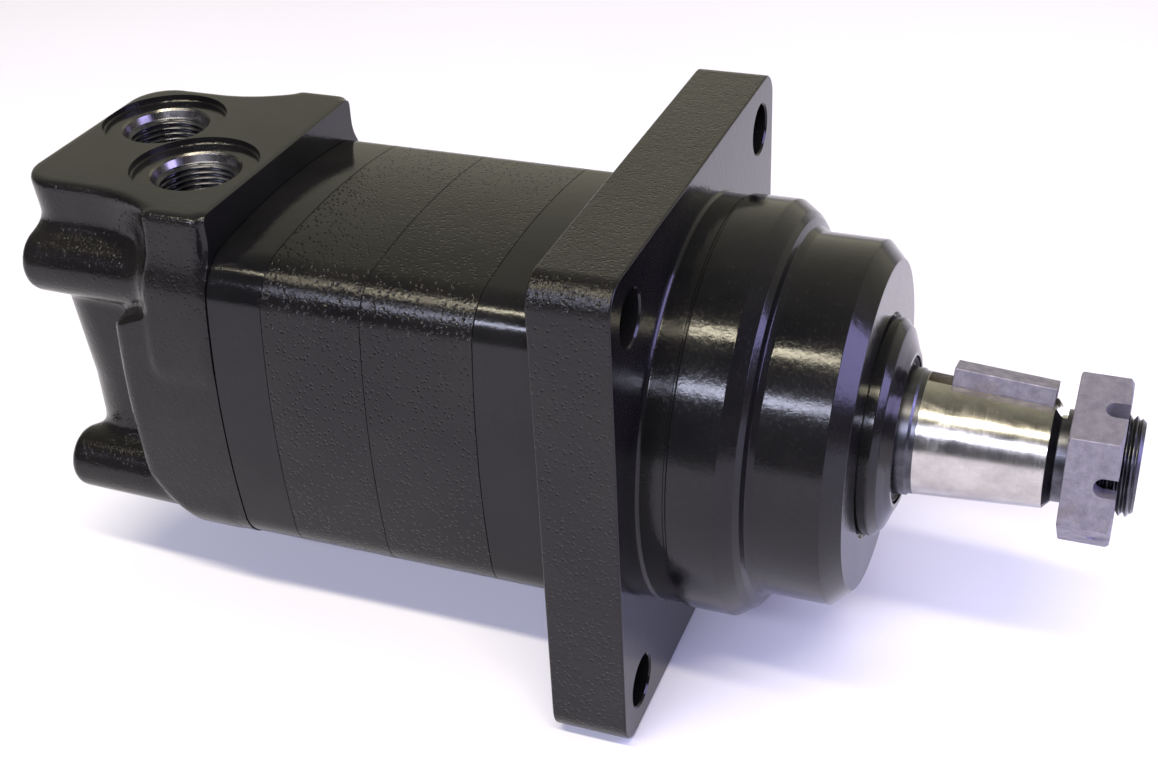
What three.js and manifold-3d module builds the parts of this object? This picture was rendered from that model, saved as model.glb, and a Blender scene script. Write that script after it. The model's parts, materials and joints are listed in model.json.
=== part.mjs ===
// Wheel-mount orbital hydraulic motor with a tapered output shaft, in millimetres.
//
// +X runs out along the output shaft towards its thread, +Z is up through the two ports.
// The origin lies on the shaft axis in the front (pilot side) face of the mounting flange.
//
// Oil enters one port, crosses the disc valve and the valve plate, and fills the pockets
// between the six-lobed rotor and the seven rolls of the geroler ring. The rotor orbits the
// ring backwards six times for each turn it makes, and the drive shaft carries that slow turn
// to the output shaft, which runs in two tapered roller bearings.

import * as THREE from 'three';
import { mergeVertices } from 'three/addons/utils/BufferGeometryUtils.js';
import Module from 'manifold-3d';

const wasm = await Module();
wasm.setup();

// ---- Driving dimensions ---------------------------------------------------------------

const GAP = 0.3; // clearance between neighbouring pieces
const FINE = 40; // sides of the large turned pieces
const MEDIUM = 24; // sides of the bearings, seals and bores
const COARSE = 12; // sides of the bolts and small holes
const ROUND = 18; // sides of the rolls and their pockets

// Mounting flange, pilot and nose of the bearing housing
const FLANGE_SIDE = 170;
const FLANGE_THICKNESS = 25.4;
const FLANGE_CORNER = 10;
const MOUNT_HOLE_SPACING = 136.8;
const MOUNT_HOLE_RADIUS = 8.75;
const PILOT_RADIUS = 69.85;
const PILOT_START = 9.5;
const PILOT_END = 24.5;
const RELIEF_RADIUS = 69.1;
const NOSE_RADIUS = 60.4;
const NOSE_START = 32.8;
const NOSE_END = 60.4;
const NOSE_CHAMFER = 5.8;

// Rounded-square section shared by the stacked body pieces
const BODY_HALF_WIDTH = 60.2;
const BODY_SIDE_RADIUS = 300;
const BODY_CORNER_RADIUS = 17;

// Joint planes of the stack, from the flange's rear face back to the valve housing
const FLANGE_REAR = -FLANGE_THICKNESS;
const HOUSING_REAR = FLANGE_REAR - 31;
const WEAR_PLATE_REAR = HOUSING_REAR - 38.9;
const GEROLER_REAR = WEAR_PLATE_REAR - 35.7;
const VALVE_PLATE_REAR = GEROLER_REAR - 20;

// Valve housing
const HOUSING_PROUD = 0.5;
const SECTION_REAR = -190;
const CORE_REAR = -231;
const CORE_HALF_WIDTH = 44;
const CORE_BOTTOM = -46;
const CORE_CORNER = 16;
const CORE_DRAFT = 2;
const SLAB_FRONT = -153.2;
const SLAB_REAR = -173;
const SLAB_HALF_WIDTH = 53;
const SLAB_BOTTOM = 20;
const PAD_TOP = 71.2;
const PORTS = [[-175.6, -15.6], [-207.5, 15.6]];
const SPOTFACE_RADIUS = 22.2;
const SPOTFACE_DEPTH = 2.6;
const SEAT_RADIUS = 15.9;
const SEAT_DEPTH = 3;
const PORT_RADIUS = 13.2;
const PORT_DEPTH = 24;
const PASSAGE_RADIUS = 9.5;
const PASSAGE_BOTTOM = 6;
const VALVE_CAVITY_RADIUS = 38;
const VALVE_CAVITY_REAR = -170;
const BALANCE_CAVITY_RADIUS = 31;
const BALANCE_CAVITY_REAR = -185;
const CENTRE_BORE_RADIUS = 12;
const CENTRE_BORE_REAR = -214;

// Bores and passages of the wear plate and the valve plate
const WEAR_PLATE_BORE_RADIUS = 27;
const WEAR_PLATE_SINK_RADIUS = 40;
const WEAR_PLATE_SINK_DEPTH = 8;
const VALVE_PLATE_BORE_RADIUS = 16;
const TIMING_HOLE_RADIUS = 3.2;
const TIMING_HOLE_CIRCLE = 31;

// Tie bolts, in bosses on the corners of the valve housing
const BOLT_OFFSET = 41.6;
const BOLT_RADIUS = 6;
const BOLT_HOLE_RADIUS = 6.4;
const BOLT_HEAD_RADIUS = 9;
const BOLT_HEAD_LENGTH = 12;
const BOLT_TIP = -29;
const BOLT_SOCKET_FLATS = 10;
const BOLT_SOCKET_DEPTH = 6;
const BOSS_RADIUS = 11.6;
const BOSS_FRONT = -176;
const BOSS_REAR = -227.5;
const BOSS_CHAMFER = 3;
const BOSS_FLARE = 0.6;
const COUNTERBORE_DEPTH = 13.5;

// Drain plug in the rear face and the O-ring under its head
const DRAIN = { y: 0, z: -27, faceRadius: 10, faceDepth: 1.5 };
const PLUG = {
  headRadius: 8,
  headLength: 5,
  neckRadius: 4.2,
  neckLength: 3.4,
  threadRadius: 5.6,
  length: 12,
};
const PLUG_SOCKET_FLATS = 6.35;
const PLUG_SOCKET_DEPTH = 3.5;

// Balance ring behind the disc valve, with the springs and pins that press and hold it
const BALANCE = { inner: 15, outer: 30.6, rear: -183 };
const BALANCE_GROOVE = { rear: -178.5, front: -175.5, depth: 2.4 };
const BALANCE_CIRCLE = 22.5;
const BALANCE_POCKET = { radius: 3.4, depth: 9 };
const BALANCE_PIN = { radius: 2, reach: 5 };
const BALANCE_SPRING = { radius: 2.4, wire: 0.55, turns: 5 };

// Geroler set: seven rolls around a six-lobed rotor
const ROLL_COUNT = 7;
const ROLL_CIRCLE = 39;
const ROLL_RADIUS = 10;
const ECCENTRICITY = 3;
const RING_BORE = 38.2;
const ROTOR_STEPS = 72;

// Section seals between the stacked pieces
const SEAL_CIRCLE = 49.3;
const SEAL_PROUD = 0.1;
const SEAL_SECTION = 1.2;
const SEAL_GROOVE_HALF = 1.5;
const SEAL_GROOVE_DEPTH = 2.3;

// Output shaft
const THREAD_END = 142;
const THREAD_RADIUS = 15.875;
const NECK_RADIUS = 14.9;
const NECK_START = 117;
const NECK_END = 120.2;
const TAPER_END = 114.6;
const TAPER_START = 73;
const TAPER_END_RADIUS = 17.6;
const TAPER_SLOPE = 1 / 16;
const JOURNAL_RADIUS = 20.9;
const NUT_THREAD_RADIUS = 21.6;
const FRONT_SEAT_RADIUS = 22.6;
const SHAFT_BODY_RADIUS = 24.5;
const REAR_SEAT_RADIUS = 27.5;
const SHAFT_HEAD_RADIUS = 36;
const SHAFT_HEAD_REAR = -52;
const SHAFT_BORE_FRONT = -8;
const KEY_TILT = THREE.MathUtils.degToRad(14);

// Key and slotted nut
const KEY_WIDTH = 9.5;
const KEY_HEIGHT = 9.5;
const KEY_START = 82;
const KEY_END = 114;
const KEYWAY_START = 74.5;
const KEYWAY_DEPTH = 4.6;
const NUT_REAR = 120.6;
const NUT_THICKNESS = 16;
const NUT_ACROSS_FLATS = 48.9;
const NUT_TURN = THREE.MathUtils.degToRad(15);
const NUT_SLOT_WIDTH = 6;
const NUT_SLOT_DEPTH = 7;

// Bearings: bore radius, outside radius, front and rear plane, rolls
const FRONT_BEARING = { bore: 22.6, outside: 35.9, rear: 19, front: 38, rolls: 12, rollRadius: 3.4 };
const REAR_BEARING = { bore: 27.5, outside: 44.9, rear: -32, front: -10, rolls: 12, rollRadius: 4.3 };
const BEARING_SLOPE = 0.25;
const SPACER_RADIUS = 28.5;
const BEARING_NUT = { outside: 30, slotWidth: 5, slotDepth: 2.5 };
const MIDDLE_BORE_RADIUS = 34;

// Seal carrier and the seals in it
const CARRIER_RADIUS = 35.9;
const CARRIER_REAR = 46;
const CARRIER_FRONT = 69.2;
const CARRIER_SEAL_BORE = 31;
const CARRIER_LIP_RADIUS = 21.3;
const CARRIER_FACE_RADIUS = 26;
const CARRIER_LIP = { rear: 60, front: 64.5 };
const CARRIER_GROOVE = { rear: 51, front: 54, depth: 2.2 };
const WIPER_SEAT_DEPTH = 3;
const SEAL_BODY = { rear: 52, front: 59.7, wall: 1.2, web: 1.7, lipRear: 52.5, lip: 21.3 };
const WASHER = { rear: 49.6, front: 51.6 };
const CIRCLIP = { rear: 47.4, front: 49.2, inner: 27.5, mouth: 8 };

// Splined drives
const SPLINE_TEETH = 12;
const SPLINE = {
  innerTip: 15.4,
  innerRoot: 18.2,
  outerTip: 17.2,
  outerRoot: 14.2,
  toothHalf: 1.7,
  spaceHalf: 2.5,
};
const VALVE_SPLINE = {
  innerTip: 9.4,
  innerRoot: 11.4,
  outerTip: 10.4,
  outerRoot: 8.4,
  toothHalf: 0.9,
  spaceHalf: 1.6,
};
const DRIVE_FRONT_CENTRE = -34;
const DRIVE_REAR_CENTRE = -107;
const VALVE_DRIVE_FRONT_CENTRE = -125;
const VALVE_DRIVE_REAR_CENTRE = -162;
const DRIVE = { spline: 16, barrel: 13.6, waist: 12.5, rearNose: 9, frontNose: 10 };
const VALVE_DRIVE = { frontSpline: 6, rearSpline: 8, shank: 8, barrel: 13, rearNose: 7, frontNose: 11 };
const BUTTON = { length: 12, rearRadius: 7, frontRadius: 9 };

// Disc valve: windows for the two oil sides alternate around it
const DISC_VALVE = { radius: 34, rearRadius: 30, rearGap: 1 };
const WINDOW = { count: 12, circle: 28.5, radius: 3, shallow: 6, deep: 10 };

// ---- Colours and finishes ----------------------------------------------------------------

function finish(colour, roughness, metalness) {
  return () => new THREE.MeshStandardMaterial({ color: colour, roughness, metalness });
}
const blackPaint = finish(0x17171a, 0.25, 0.0);
const castPaint = finish(0x1b1b1d, 0.4, 0.0);
const brightSteel = finish(0xb9b4ac, 0.25, 1.0);
const darkSteel = finish(0x55565a, 0.35, 1.0);
const zincSteel = finish(0x8f8d96, 0.5, 0.9);
const bronze = finish(0x9a7442, 0.45, 0.9);
const rubber = finish(0x161616, 0.8, 0.0);

// ---- Solid helpers -------------------------------------------------------------------------

// Keeps only position, merges shared corners and drops triangles that have no area.
function closed(geometry) {
  const plain = new THREE.BufferGeometry();
  plain.setAttribute('position', geometry.getAttribute('position').clone());
  if (geometry.index) {
    plain.setIndex(geometry.index.clone());
  }
  const merged = mergeVertices(plain, 1e-4);
  const index = merged.index.array;
  const kept = [];
  for (let i = 0; i < index.length; i += 3) {
    const [a, b, c] = [index[i], index[i + 1], index[i + 2]];
    if (a !== b && b !== c && c !== a) {
      kept.push(a, b, c);
    }
  }
  merged.setIndex(kept);
  return volumeOf(merged) < 0 ? turnedInsideOut(merged) : merged;
}

function volumeOf(geometry) {
  const position = geometry.getAttribute('position');
  const index = geometry.index.array;
  const corners = [new THREE.Vector3(), new THREE.Vector3(), new THREE.Vector3()];
  let volume = 0;
  for (let i = 0; i < index.length; i += 3) {
    corners.forEach((corner, n) => corner.fromBufferAttribute(position, index[i + n]));
    volume += corners[0].dot(corners[1].cross(corners[2])) / 6;
  }
  return volume;
}

function turnedInsideOut(geometry) {
  const index = Array.from(geometry.index.array);
  for (let i = 0; i < index.length; i += 3) {
    [index[i + 1], index[i + 2]] = [index[i + 2], index[i + 1]];
  }
  geometry.setIndex(index);
  return geometry;
}

function toSolid(geometry) {
  const mesh = closed(geometry);
  return new wasm.Manifold(new wasm.Mesh({
    numProp: 3,
    vertProperties: new Float32Array(mesh.getAttribute('position').array),
    triVerts: new Uint32Array(mesh.index.array),
  }));
}

function toGeometry(solid) {
  const mesh = solid.getMesh();
  const geometry = new THREE.BufferGeometry();
  geometry.setAttribute('position', new THREE.BufferAttribute(new Float32Array(mesh.vertProperties), 3));
  geometry.setIndex(Array.from(mesh.triVerts));
  return geometry;
}

function join(...geometries) {
  return toGeometry(geometries.map(toSolid).reduce((whole, next) => whole.add(next)));
}

function cut(geometry, ...tools) {
  return toGeometry(tools.map(toSolid).reduce((whole, tool) => whole.subtract(tool), toSolid(geometry)));
}

function common(first, second) {
  return toGeometry(toSolid(first).intersect(toSolid(second)));
}

// Puts a profile's own Y axis along +X.
function alongX(geometry) {
  return geometry.rotateZ(-Math.PI / 2);
}

// A piece turned about the X axis from [x, radius] points, which close on themselves
// unless they start and end on the axis.
function turned(points, sides = MEDIUM) {
  const profile = points.map(([x, radius]) => new THREE.Vector2(radius, x));
  const onAxis = points[0][1] === 0 && points[points.length - 1][1] === 0;
  if (!onAxis) {
    profile.push(profile[0].clone());
  }
  return alongX(new THREE.LatheGeometry(profile, sides));
}

function rod(x0, x1, radius, sides = MEDIUM, endRadius = radius) {
  const geometry = new THREE.CylinderGeometry(endRadius, radius, x1 - x0, sides);
  return alongX(geometry).translate((x0 + x1) / 2, 0, 0);
}

function tube(x0, x1, inner, outer, sides = MEDIUM) {
  return turned([[x0, inner], [x0, outer], [x1, outer], [x1, inner]], sides);
}

// A vertical cylinder between two heights.
function post(z0, z1, radius, sides = MEDIUM, topRadius = radius) {
  const geometry = new THREE.CylinderGeometry(topRadius, radius, z1 - z0, sides);
  return geometry.rotateX(Math.PI / 2).translate(0, 0, (z0 + z1) / 2);
}

function box(x0, x1, y0, y1, z0, z1) {
  const geometry = new THREE.BoxGeometry(x1 - x0, y1 - y0, z1 - z0);
  return geometry.translate((x0 + x1) / 2, (y0 + y1) / 2, (z0 + z1) / 2);
}

function arc(centreX, centreY, radius, from, to, steps) {
  return Array.from({ length: steps + 1 }, (unused, i) => {
    const angle = from + (to - from) * i / steps;
    return new THREE.Vector2(centreX + radius * Math.cos(angle), centreY + radius * Math.sin(angle));
  });
}

// An outline in the YZ plane drawn out along X.
function alongShaft(outline, x0, x1) {
  const options = { depth: x1 - x0, bevelEnabled: false };
  const geometry = new THREE.ExtrudeGeometry(new THREE.Shape(outline), options);
  const axes = new THREE.Matrix4().makeBasis(
    new THREE.Vector3(0, 1, 0), new THREE.Vector3(0, 0, 1), new THREE.Vector3(1, 0, 0));
  return geometry.applyMatrix4(axes).translate(x0, 0, 0);
}

function roundedRectangle(left, right, bottom, top, radius, steps = 5) {
  const quarter = Math.PI / 2;
  return [
    ...arc(right - radius, top - radius, radius, 0, quarter, steps),
    ...arc(left + radius, top - radius, radius, quarter, 2 * quarter, steps),
    ...arc(left + radius, bottom + radius, radius, 2 * quarter, 3 * quarter, steps),
    ...arc(right - radius, bottom + radius, radius, 3 * quarter, 4 * quarter, steps),
  ];
}

// Square with gently bowed sides and tangent rounded corners.
function bodyOutline(halfWidth) {
  const sideCentre = BODY_SIDE_RADIUS - halfWidth;
  const reach = BODY_SIDE_RADIUS - BODY_CORNER_RADIUS;
  const corner = (Math.sqrt(2 * reach ** 2 - sideCentre ** 2) - sideCentre) / 2;
  const tangent = Math.atan2(corner, corner + sideCentre);
  const quarter = Math.PI / 2;
  const centre = Math.atan2(corner, corner);
  const outline = [];
  for (let side = 0; side < 4; side += 1) {
    const turn = side * quarter;
    outline.push(...arc(-sideCentre * Math.cos(turn), -sideCentre * Math.sin(turn),
      BODY_SIDE_RADIUS, turn - tangent, turn + tangent, 4));
    const distance = corner * Math.SQRT2;
    outline.push(...arc(distance * Math.cos(turn + centre), distance * Math.sin(turn + centre),
      BODY_CORNER_RADIUS, turn + tangent, turn + quarter - tangent, 4).slice(1, -1));
  }
  return outline;
}

function polar(radius, angle) {
  return new THREE.Vector2(radius * Math.cos(angle), radius * Math.sin(angle));
}

// Teeth of a spline as an outline, a little narrower at the tip than at the root.
function splineOutline(root, tip, toothHalf) {
  const atTip = toothHalf * 0.8 / tip;
  const atRoot = toothHalf * 1.3 / root;
  return Array.from({ length: SPLINE_TEETH }, (unused, tooth) => {
    const turn = 2 * Math.PI * tooth / SPLINE_TEETH;
    return [
      polar(root, turn - atRoot),
      polar(tip, turn - atTip),
      polar(tip, turn + atTip),
      polar(root, turn + atRoot),
    ];
  }).flat();
}

// Hole shape of an internal spline: the teeth are what is left between its spaces.
function internalSpline(spline, x0, x1) {
  return alongShaft(splineOutline(spline.innerTip, spline.innerRoot, spline.spaceHalf), x0, x1);
}

function corners(offset) {
  return [[-offset, offset], [offset, offset], [offset, -offset], [-offset, -offset]];
}

function boltHoles(x0, x1, radius = BOLT_HOLE_RADIUS) {
  return corners(BOLT_OFFSET).map(([y, z]) => rod(x0, x1, radius, COARSE).translate(0, y, z));
}

// Groove for a section seal that opens at face and goes inward by its depth.
function sealGroove(face, inward) {
  const floor = face + inward * SEAL_GROOVE_DEPTH;
  const mouth = face - inward;
  return tube(Math.min(floor, mouth), Math.max(floor, mouth),
    SEAL_CIRCLE - SEAL_GROOVE_HALF, SEAL_CIRCLE + SEAL_GROOVE_HALF);
}

// ---- The part ----------------------------------------------------------------------------------

const motor = new THREE.Group();

function add(name, geometry, material, place = [0, 0, 0], group = motor) {
  const mesh = new THREE.Mesh(closed(geometry), material());
  mesh.geometry.computeVertexNormals();
  mesh.name = name;
  mesh.position.set(...place);
  group.add(mesh);
  return mesh;
}

// ---- Bearing housing with its flange ----

function bearingHousing() {
  const half = FLANGE_SIDE / 2;
  const flange = alongShaft(roundedRectangle(-half, half, -half, half, FLANGE_CORNER), FLANGE_REAR, 0);
  const barrel = alongShaft(bodyOutline(BODY_HALF_WIDTH), HOUSING_REAR + GAP / 2, FLANGE_REAR + 1);
  const front = turned([
    [-1, 0],
    [-1, RELIEF_RADIUS],
    [PILOT_START - 1, RELIEF_RADIUS],
    [PILOT_START, PILOT_RADIUS],
    [PILOT_END, PILOT_RADIUS],
    [PILOT_END + 5, PILOT_RADIUS - 3.4],
    [NOSE_START - 1, NOSE_RADIUS + 1.6],
    [NOSE_START + 0.6, NOSE_RADIUS],
    [NOSE_END - NOSE_CHAMFER, NOSE_RADIUS],
    [NOSE_END, NOSE_RADIUS - NOSE_CHAMFER],
    [NOSE_END, 0],
  ], FINE);
  const bore = turned([
    [HOUSING_REAR - 1, 0],
    [HOUSING_REAR - 1, REAR_BEARING.outside + GAP],
    [REAR_BEARING.front + GAP, REAR_BEARING.outside + GAP],
    [REAR_BEARING.front + GAP, MIDDLE_BORE_RADIUS],
    [FRONT_BEARING.rear - GAP, MIDDLE_BORE_RADIUS],
    [FRONT_BEARING.rear - GAP, CARRIER_RADIUS + GAP],
    [NOSE_END + 1, CARRIER_RADIUS + GAP],
    [NOSE_END + 1, 0],
  ], MEDIUM);
  const mountHoles = corners(MOUNT_HOLE_SPACING / 2).map(
    ([y, z]) => rod(FLANGE_REAR - 1, 1, MOUNT_HOLE_RADIUS, COARSE).translate(0, y, z));
  return cut(join(flange, barrel, front), bore, ...mountHoles,
    ...boltHoles(HOUSING_REAR - 1, BOLT_TIP + 1));
}

add('bearing_housing', bearingHousing(), blackPaint);

// ---- Stacked plates ----

function wearPlate() {
  const front = HOUSING_REAR - GAP / 2;
  const rear = WEAR_PLATE_REAR + GAP / 2;
  return cut(alongShaft(bodyOutline(BODY_HALF_WIDTH), rear, front),
    rod(rear - 1, front + 1, WEAR_PLATE_BORE_RADIUS, MEDIUM),
    rod(front - WEAR_PLATE_SINK_DEPTH, front + 1, WEAR_PLATE_SINK_RADIUS, MEDIUM),
    sealGroove(front, -1), sealGroove(rear, 1), ...boltHoles(rear - 1, front + 1));
}

function rollPlaces() {
  return Array.from({ length: ROLL_COUNT }, (unused, i) => {
    const angle = 2 * Math.PI * i / ROLL_COUNT;
    return [ROLL_CIRCLE * Math.cos(angle), ROLL_CIRCLE * Math.sin(angle)];
  });
}

function gerolerRing() {
  const front = WEAR_PLATE_REAR - GAP / 2;
  const rear = GEROLER_REAR + GAP / 2;
  const pockets = rollPlaces().map(
    ([y, z]) => rod(rear - 1, front + 1, ROLL_RADIUS + GAP, ROUND).translate(0, y, z));
  return cut(alongShaft(bodyOutline(BODY_HALF_WIDTH), rear, front),
    rod(rear - 1, front + 1, RING_BORE, FINE), ...pockets, ...boltHoles(rear - 1, front + 1));
}

function valvePlate() {
  const front = GEROLER_REAR - GAP / 2;
  const rear = VALVE_PLATE_REAR + GAP / 2;
  const timingHoles = Array.from({ length: ROLL_COUNT }, (unused, i) => {
    const place = polar(TIMING_HOLE_CIRCLE, 2 * Math.PI * (i + 0.5) / ROLL_COUNT);
    return rod(rear - 1, front + 1, TIMING_HOLE_RADIUS, COARSE).translate(0, place.x, place.y);
  });
  return cut(alongShaft(bodyOutline(BODY_HALF_WIDTH), rear, front),
    rod(rear - 1, front + 1, VALVE_PLATE_BORE_RADIUS, MEDIUM), ...timingHoles,
    sealGroove(front, -1), ...boltHoles(rear - 1, front + 1));
}

add('wear_plate', wearPlate(), castPaint);
add('geroler_ring', gerolerRing(), castPaint);
add('valve_plate', valvePlate(), blackPaint);

// ---- Valve housing ----

// Plan of the cast core under the port pad: its sides draw in towards rounded rear corners.
function corePlan() {
  const front = VALVE_PLATE_REAR - 5;
  return [
    new THREE.Vector2(front, -CORE_HALF_WIDTH - CORE_DRAFT),
    new THREE.Vector2(front, CORE_HALF_WIDTH + CORE_DRAFT),
    ...arc(CORE_REAR + CORE_CORNER, CORE_HALF_WIDTH - CORE_CORNER, CORE_CORNER,
      Math.PI / 2, Math.PI, 6),
    ...arc(CORE_REAR + CORE_CORNER, CORE_CORNER - CORE_HALF_WIDTH, CORE_CORNER,
      Math.PI, 3 * Math.PI / 2, 6),
  ];
}

function boss(y, z) {
  return turned([
    [BOSS_REAR, 0],
    [BOSS_REAR, BOSS_RADIUS - BOSS_CHAMFER / 2],
    [BOSS_REAR + BOSS_CHAMFER, BOSS_RADIUS],
    [BOSS_FRONT, BOSS_RADIUS + BOSS_FLARE],
    [BOSS_FRONT, 0],
  ], COARSE).translate(0, y, z);
}

function port([x, y]) {
  const floor = PAD_TOP - SPOTFACE_DEPTH;
  return [
    post(floor, PAD_TOP + 1, SPOTFACE_RADIUS).translate(x, y, 0),
    post(floor - SEAT_DEPTH, floor + 0.01, PORT_RADIUS, MEDIUM, SEAT_RADIUS).translate(x, y, 0),
    post(floor - PORT_DEPTH, floor, PORT_RADIUS).translate(x, y, 0),
    post(PASSAGE_BOTTOM, floor, PASSAGE_RADIUS, COARSE).translate(x, y, 0),
  ];
}

function valveHousing() {
  const front = VALVE_PLATE_REAR - GAP / 2;
  const section = alongShaft(bodyOutline(BODY_HALF_WIDTH + HOUSING_PROUD), SECTION_REAR, front);
  const plan = new THREE.ExtrudeGeometry(new THREE.Shape(corePlan()),
    { depth: PAD_TOP - CORE_BOTTOM, bevelEnabled: false }).translate(0, 0, CORE_BOTTOM);
  const elevation = alongShaft(roundedRectangle(-CORE_HALF_WIDTH - 4, CORE_HALF_WIDTH + 4,
    CORE_BOTTOM, PAD_TOP + CORE_CORNER, CORE_CORNER), CORE_REAR - 1, front - 1);
  const slab = box(SLAB_REAR, SLAB_FRONT, -SLAB_HALF_WIDTH, SLAB_HALF_WIDTH, SLAB_BOTTOM, PAD_TOP);
  const bosses = corners(BOLT_OFFSET).map(([y, z]) => boss(y, z));
  const cavity = turned([
    [front + 1, 0],
    [front + 1, VALVE_CAVITY_RADIUS],
    [VALVE_CAVITY_REAR, VALVE_CAVITY_RADIUS],
    [VALVE_CAVITY_REAR, BALANCE_CAVITY_RADIUS],
    [BALANCE_CAVITY_REAR, BALANCE_CAVITY_RADIUS],
    [BALANCE_CAVITY_REAR, CENTRE_BORE_RADIUS],
    [CENTRE_BORE_REAR, CENTRE_BORE_RADIUS],
    [CENTRE_BORE_REAR, 0],
  ], MEDIUM);
  const counterbores = boltHoles(BOSS_REAR - 1, BOSS_REAR + COUNTERBORE_DEPTH, BOLT_HEAD_RADIUS + GAP);
  const drain = [
    rod(CORE_REAR - 1, CORE_REAR + DRAIN.faceDepth, DRAIN.faceRadius, COARSE),
    rod(CORE_REAR - 1, BALANCE_CAVITY_REAR + 1, PLUG.threadRadius, COARSE),
  ].map((hole) => hole.translate(0, DRAIN.y, DRAIN.z));
  return cut(join(section, common(plan, elevation), slab, ...bosses), cavity,
    ...PORTS.flatMap(port), ...counterbores, ...boltHoles(BOSS_REAR - 1, front + 1),
    sealGroove(front, -1), ...balancePlaces().map(balancePocket), ...drain);
}

// ---- Balance ring with its springs and pins ----

function balancePlaces() {
  return [0, 1, 2, 3].map((i) => {
    const angle = Math.PI / 4 + i * Math.PI / 2;
    return [BALANCE_CIRCLE * Math.cos(angle), BALANCE_CIRCLE * Math.sin(angle)];
  });
}

function balancePocket([y, z]) {
  const floor = BALANCE_CAVITY_REAR - BALANCE_POCKET.depth;
  return rod(floor, BALANCE_CAVITY_REAR + 1, BALANCE_POCKET.radius, COARSE).translate(0, y, z);
}

function balanceRing() {
  const front = VALVE_CAVITY_REAR + 0.4;
  const pinHoles = balancePlaces().filter((unused, i) => i % 2 === 1).map(
    ([y, z]) => rod(BALANCE.rear - 1, BALANCE.rear + BALANCE_PIN.reach,
      BALANCE_PIN.radius + GAP, COARSE).translate(0, y, z));
  const grooveFloor = BALANCE.outer - BALANCE_GROOVE.depth;
  return cut(turned([
    [BALANCE.rear, BALANCE.inner],
    [BALANCE.rear, BALANCE.outer],
    [BALANCE_GROOVE.rear, BALANCE.outer],
    [BALANCE_GROOVE.rear, grooveFloor],
    [BALANCE_GROOVE.front, grooveFloor],
    [BALANCE_GROOVE.front, BALANCE.outer],
    [front, BALANCE.outer],
    [front, BALANCE.inner],
  ], MEDIUM), ...pinHoles);
}

function spring(x0, x1, radius, wire, turns) {
  const rise = x1 - x0 - 2 * wire;
  const steps = turns * 8;
  const centreLine = new THREE.CatmullRomCurve3(Array.from({ length: steps + 1 }, (unused, i) => {
    const angle = 2 * Math.PI * turns * i / steps;
    const x = x0 + wire + rise * i / steps;
    return new THREE.Vector3(x, radius * Math.cos(angle), radius * Math.sin(angle));
  }));
  const section = new THREE.Shape(arc(0, 0, wire, 0, 2 * Math.PI, 5).slice(0, -1));
  return new THREE.ExtrudeGeometry(section, { steps, extrudePath: centreLine, bevelEnabled: false });
}

add('valve_housing', valveHousing(), castPaint);
add('balance_ring', balanceRing(), brightSteel);
add('balance_ring_seal', tube(BALANCE_GROOVE.rear + GAP, BALANCE_GROOVE.front - GAP,
  BALANCE.outer - BALANCE_GROOVE.depth + GAP, BALANCE.outer + SEAL_PROUD), rubber);
balancePlaces().forEach(([y, z], i) => {
  const pair = Math.floor(i / 2) + 1;
  const floor = BALANCE_CAVITY_REAR - BALANCE_POCKET.depth + GAP;
  if (i % 2 === 0) {
    const coil = spring(floor, BALANCE.rear - GAP, BALANCE_SPRING.radius, BALANCE_SPRING.wire,
      BALANCE_SPRING.turns);
    add(`balance_spring_${pair}`, coil, darkSteel, [0, y, z]);
  } else {
    const pin = rod(floor, BALANCE.rear + BALANCE_PIN.reach - GAP, BALANCE_PIN.radius, COARSE);
    add(`balance_pin_${pair}`, pin, darkSteel, [0, y, z]);
  }
});

// ---- Drain plug in the rear face ----

function hexagon(acrossFlats) {
  return arc(0, 0, acrossFlats / Math.sqrt(3), 0, 2 * Math.PI, 6).slice(0, -1);
}

function drainPlug() {
  const face = CORE_REAR + DRAIN.faceDepth;
  const rear = face - PLUG.headLength;
  const chamfer = 0.6;
  const plug = turned([
    [rear, 0],
    [rear, PLUG.headRadius - chamfer],
    [rear + chamfer, PLUG.headRadius],
    [face - GAP, PLUG.headRadius],
    [face - GAP, PLUG.neckRadius],
    [face + PLUG.neckLength, PLUG.neckRadius],
    [face + PLUG.neckLength, PLUG.threadRadius - GAP],
    [face + PLUG.length, PLUG.threadRadius - GAP],
    [face + PLUG.length, 0],
  ], COARSE);
  return cut(plug, alongShaft(hexagon(PLUG_SOCKET_FLATS), rear - 1, rear + PLUG_SOCKET_DEPTH));
}

add('drain_plug', drainPlug(), zincSteel, [0, DRAIN.y, DRAIN.z]);
add('drain_plug_seal', tube(CORE_REAR + DRAIN.faceDepth + 2 * GAP,
  CORE_REAR + DRAIN.faceDepth + PLUG.neckLength - 2 * GAP, PLUG.neckRadius + GAP,
  PLUG.threadRadius - GAP, COARSE), rubber, [0, DRAIN.y, DRAIN.z]);

// ---- Section seals ----

const seals = [HOUSING_REAR, WEAR_PLATE_REAR, GEROLER_REAR, VALVE_PLATE_REAR];
seals.forEach((plane, i) => {
  const inward = i === 1 ? 1 : -1;
  const face = plane + inward * GAP / 2;
  const centre = face + inward * (SEAL_GROOVE_DEPTH - SEAL_SECTION - SEAL_PROUD);
  const ring = new THREE.TorusGeometry(SEAL_CIRCLE, SEAL_SECTION, 6, MEDIUM).rotateY(Math.PI / 2);
  add(`section_seal_${i + 1}`, ring, rubber, [centre, 0, 0]);
});

// ---- Tie bolts ----

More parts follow.
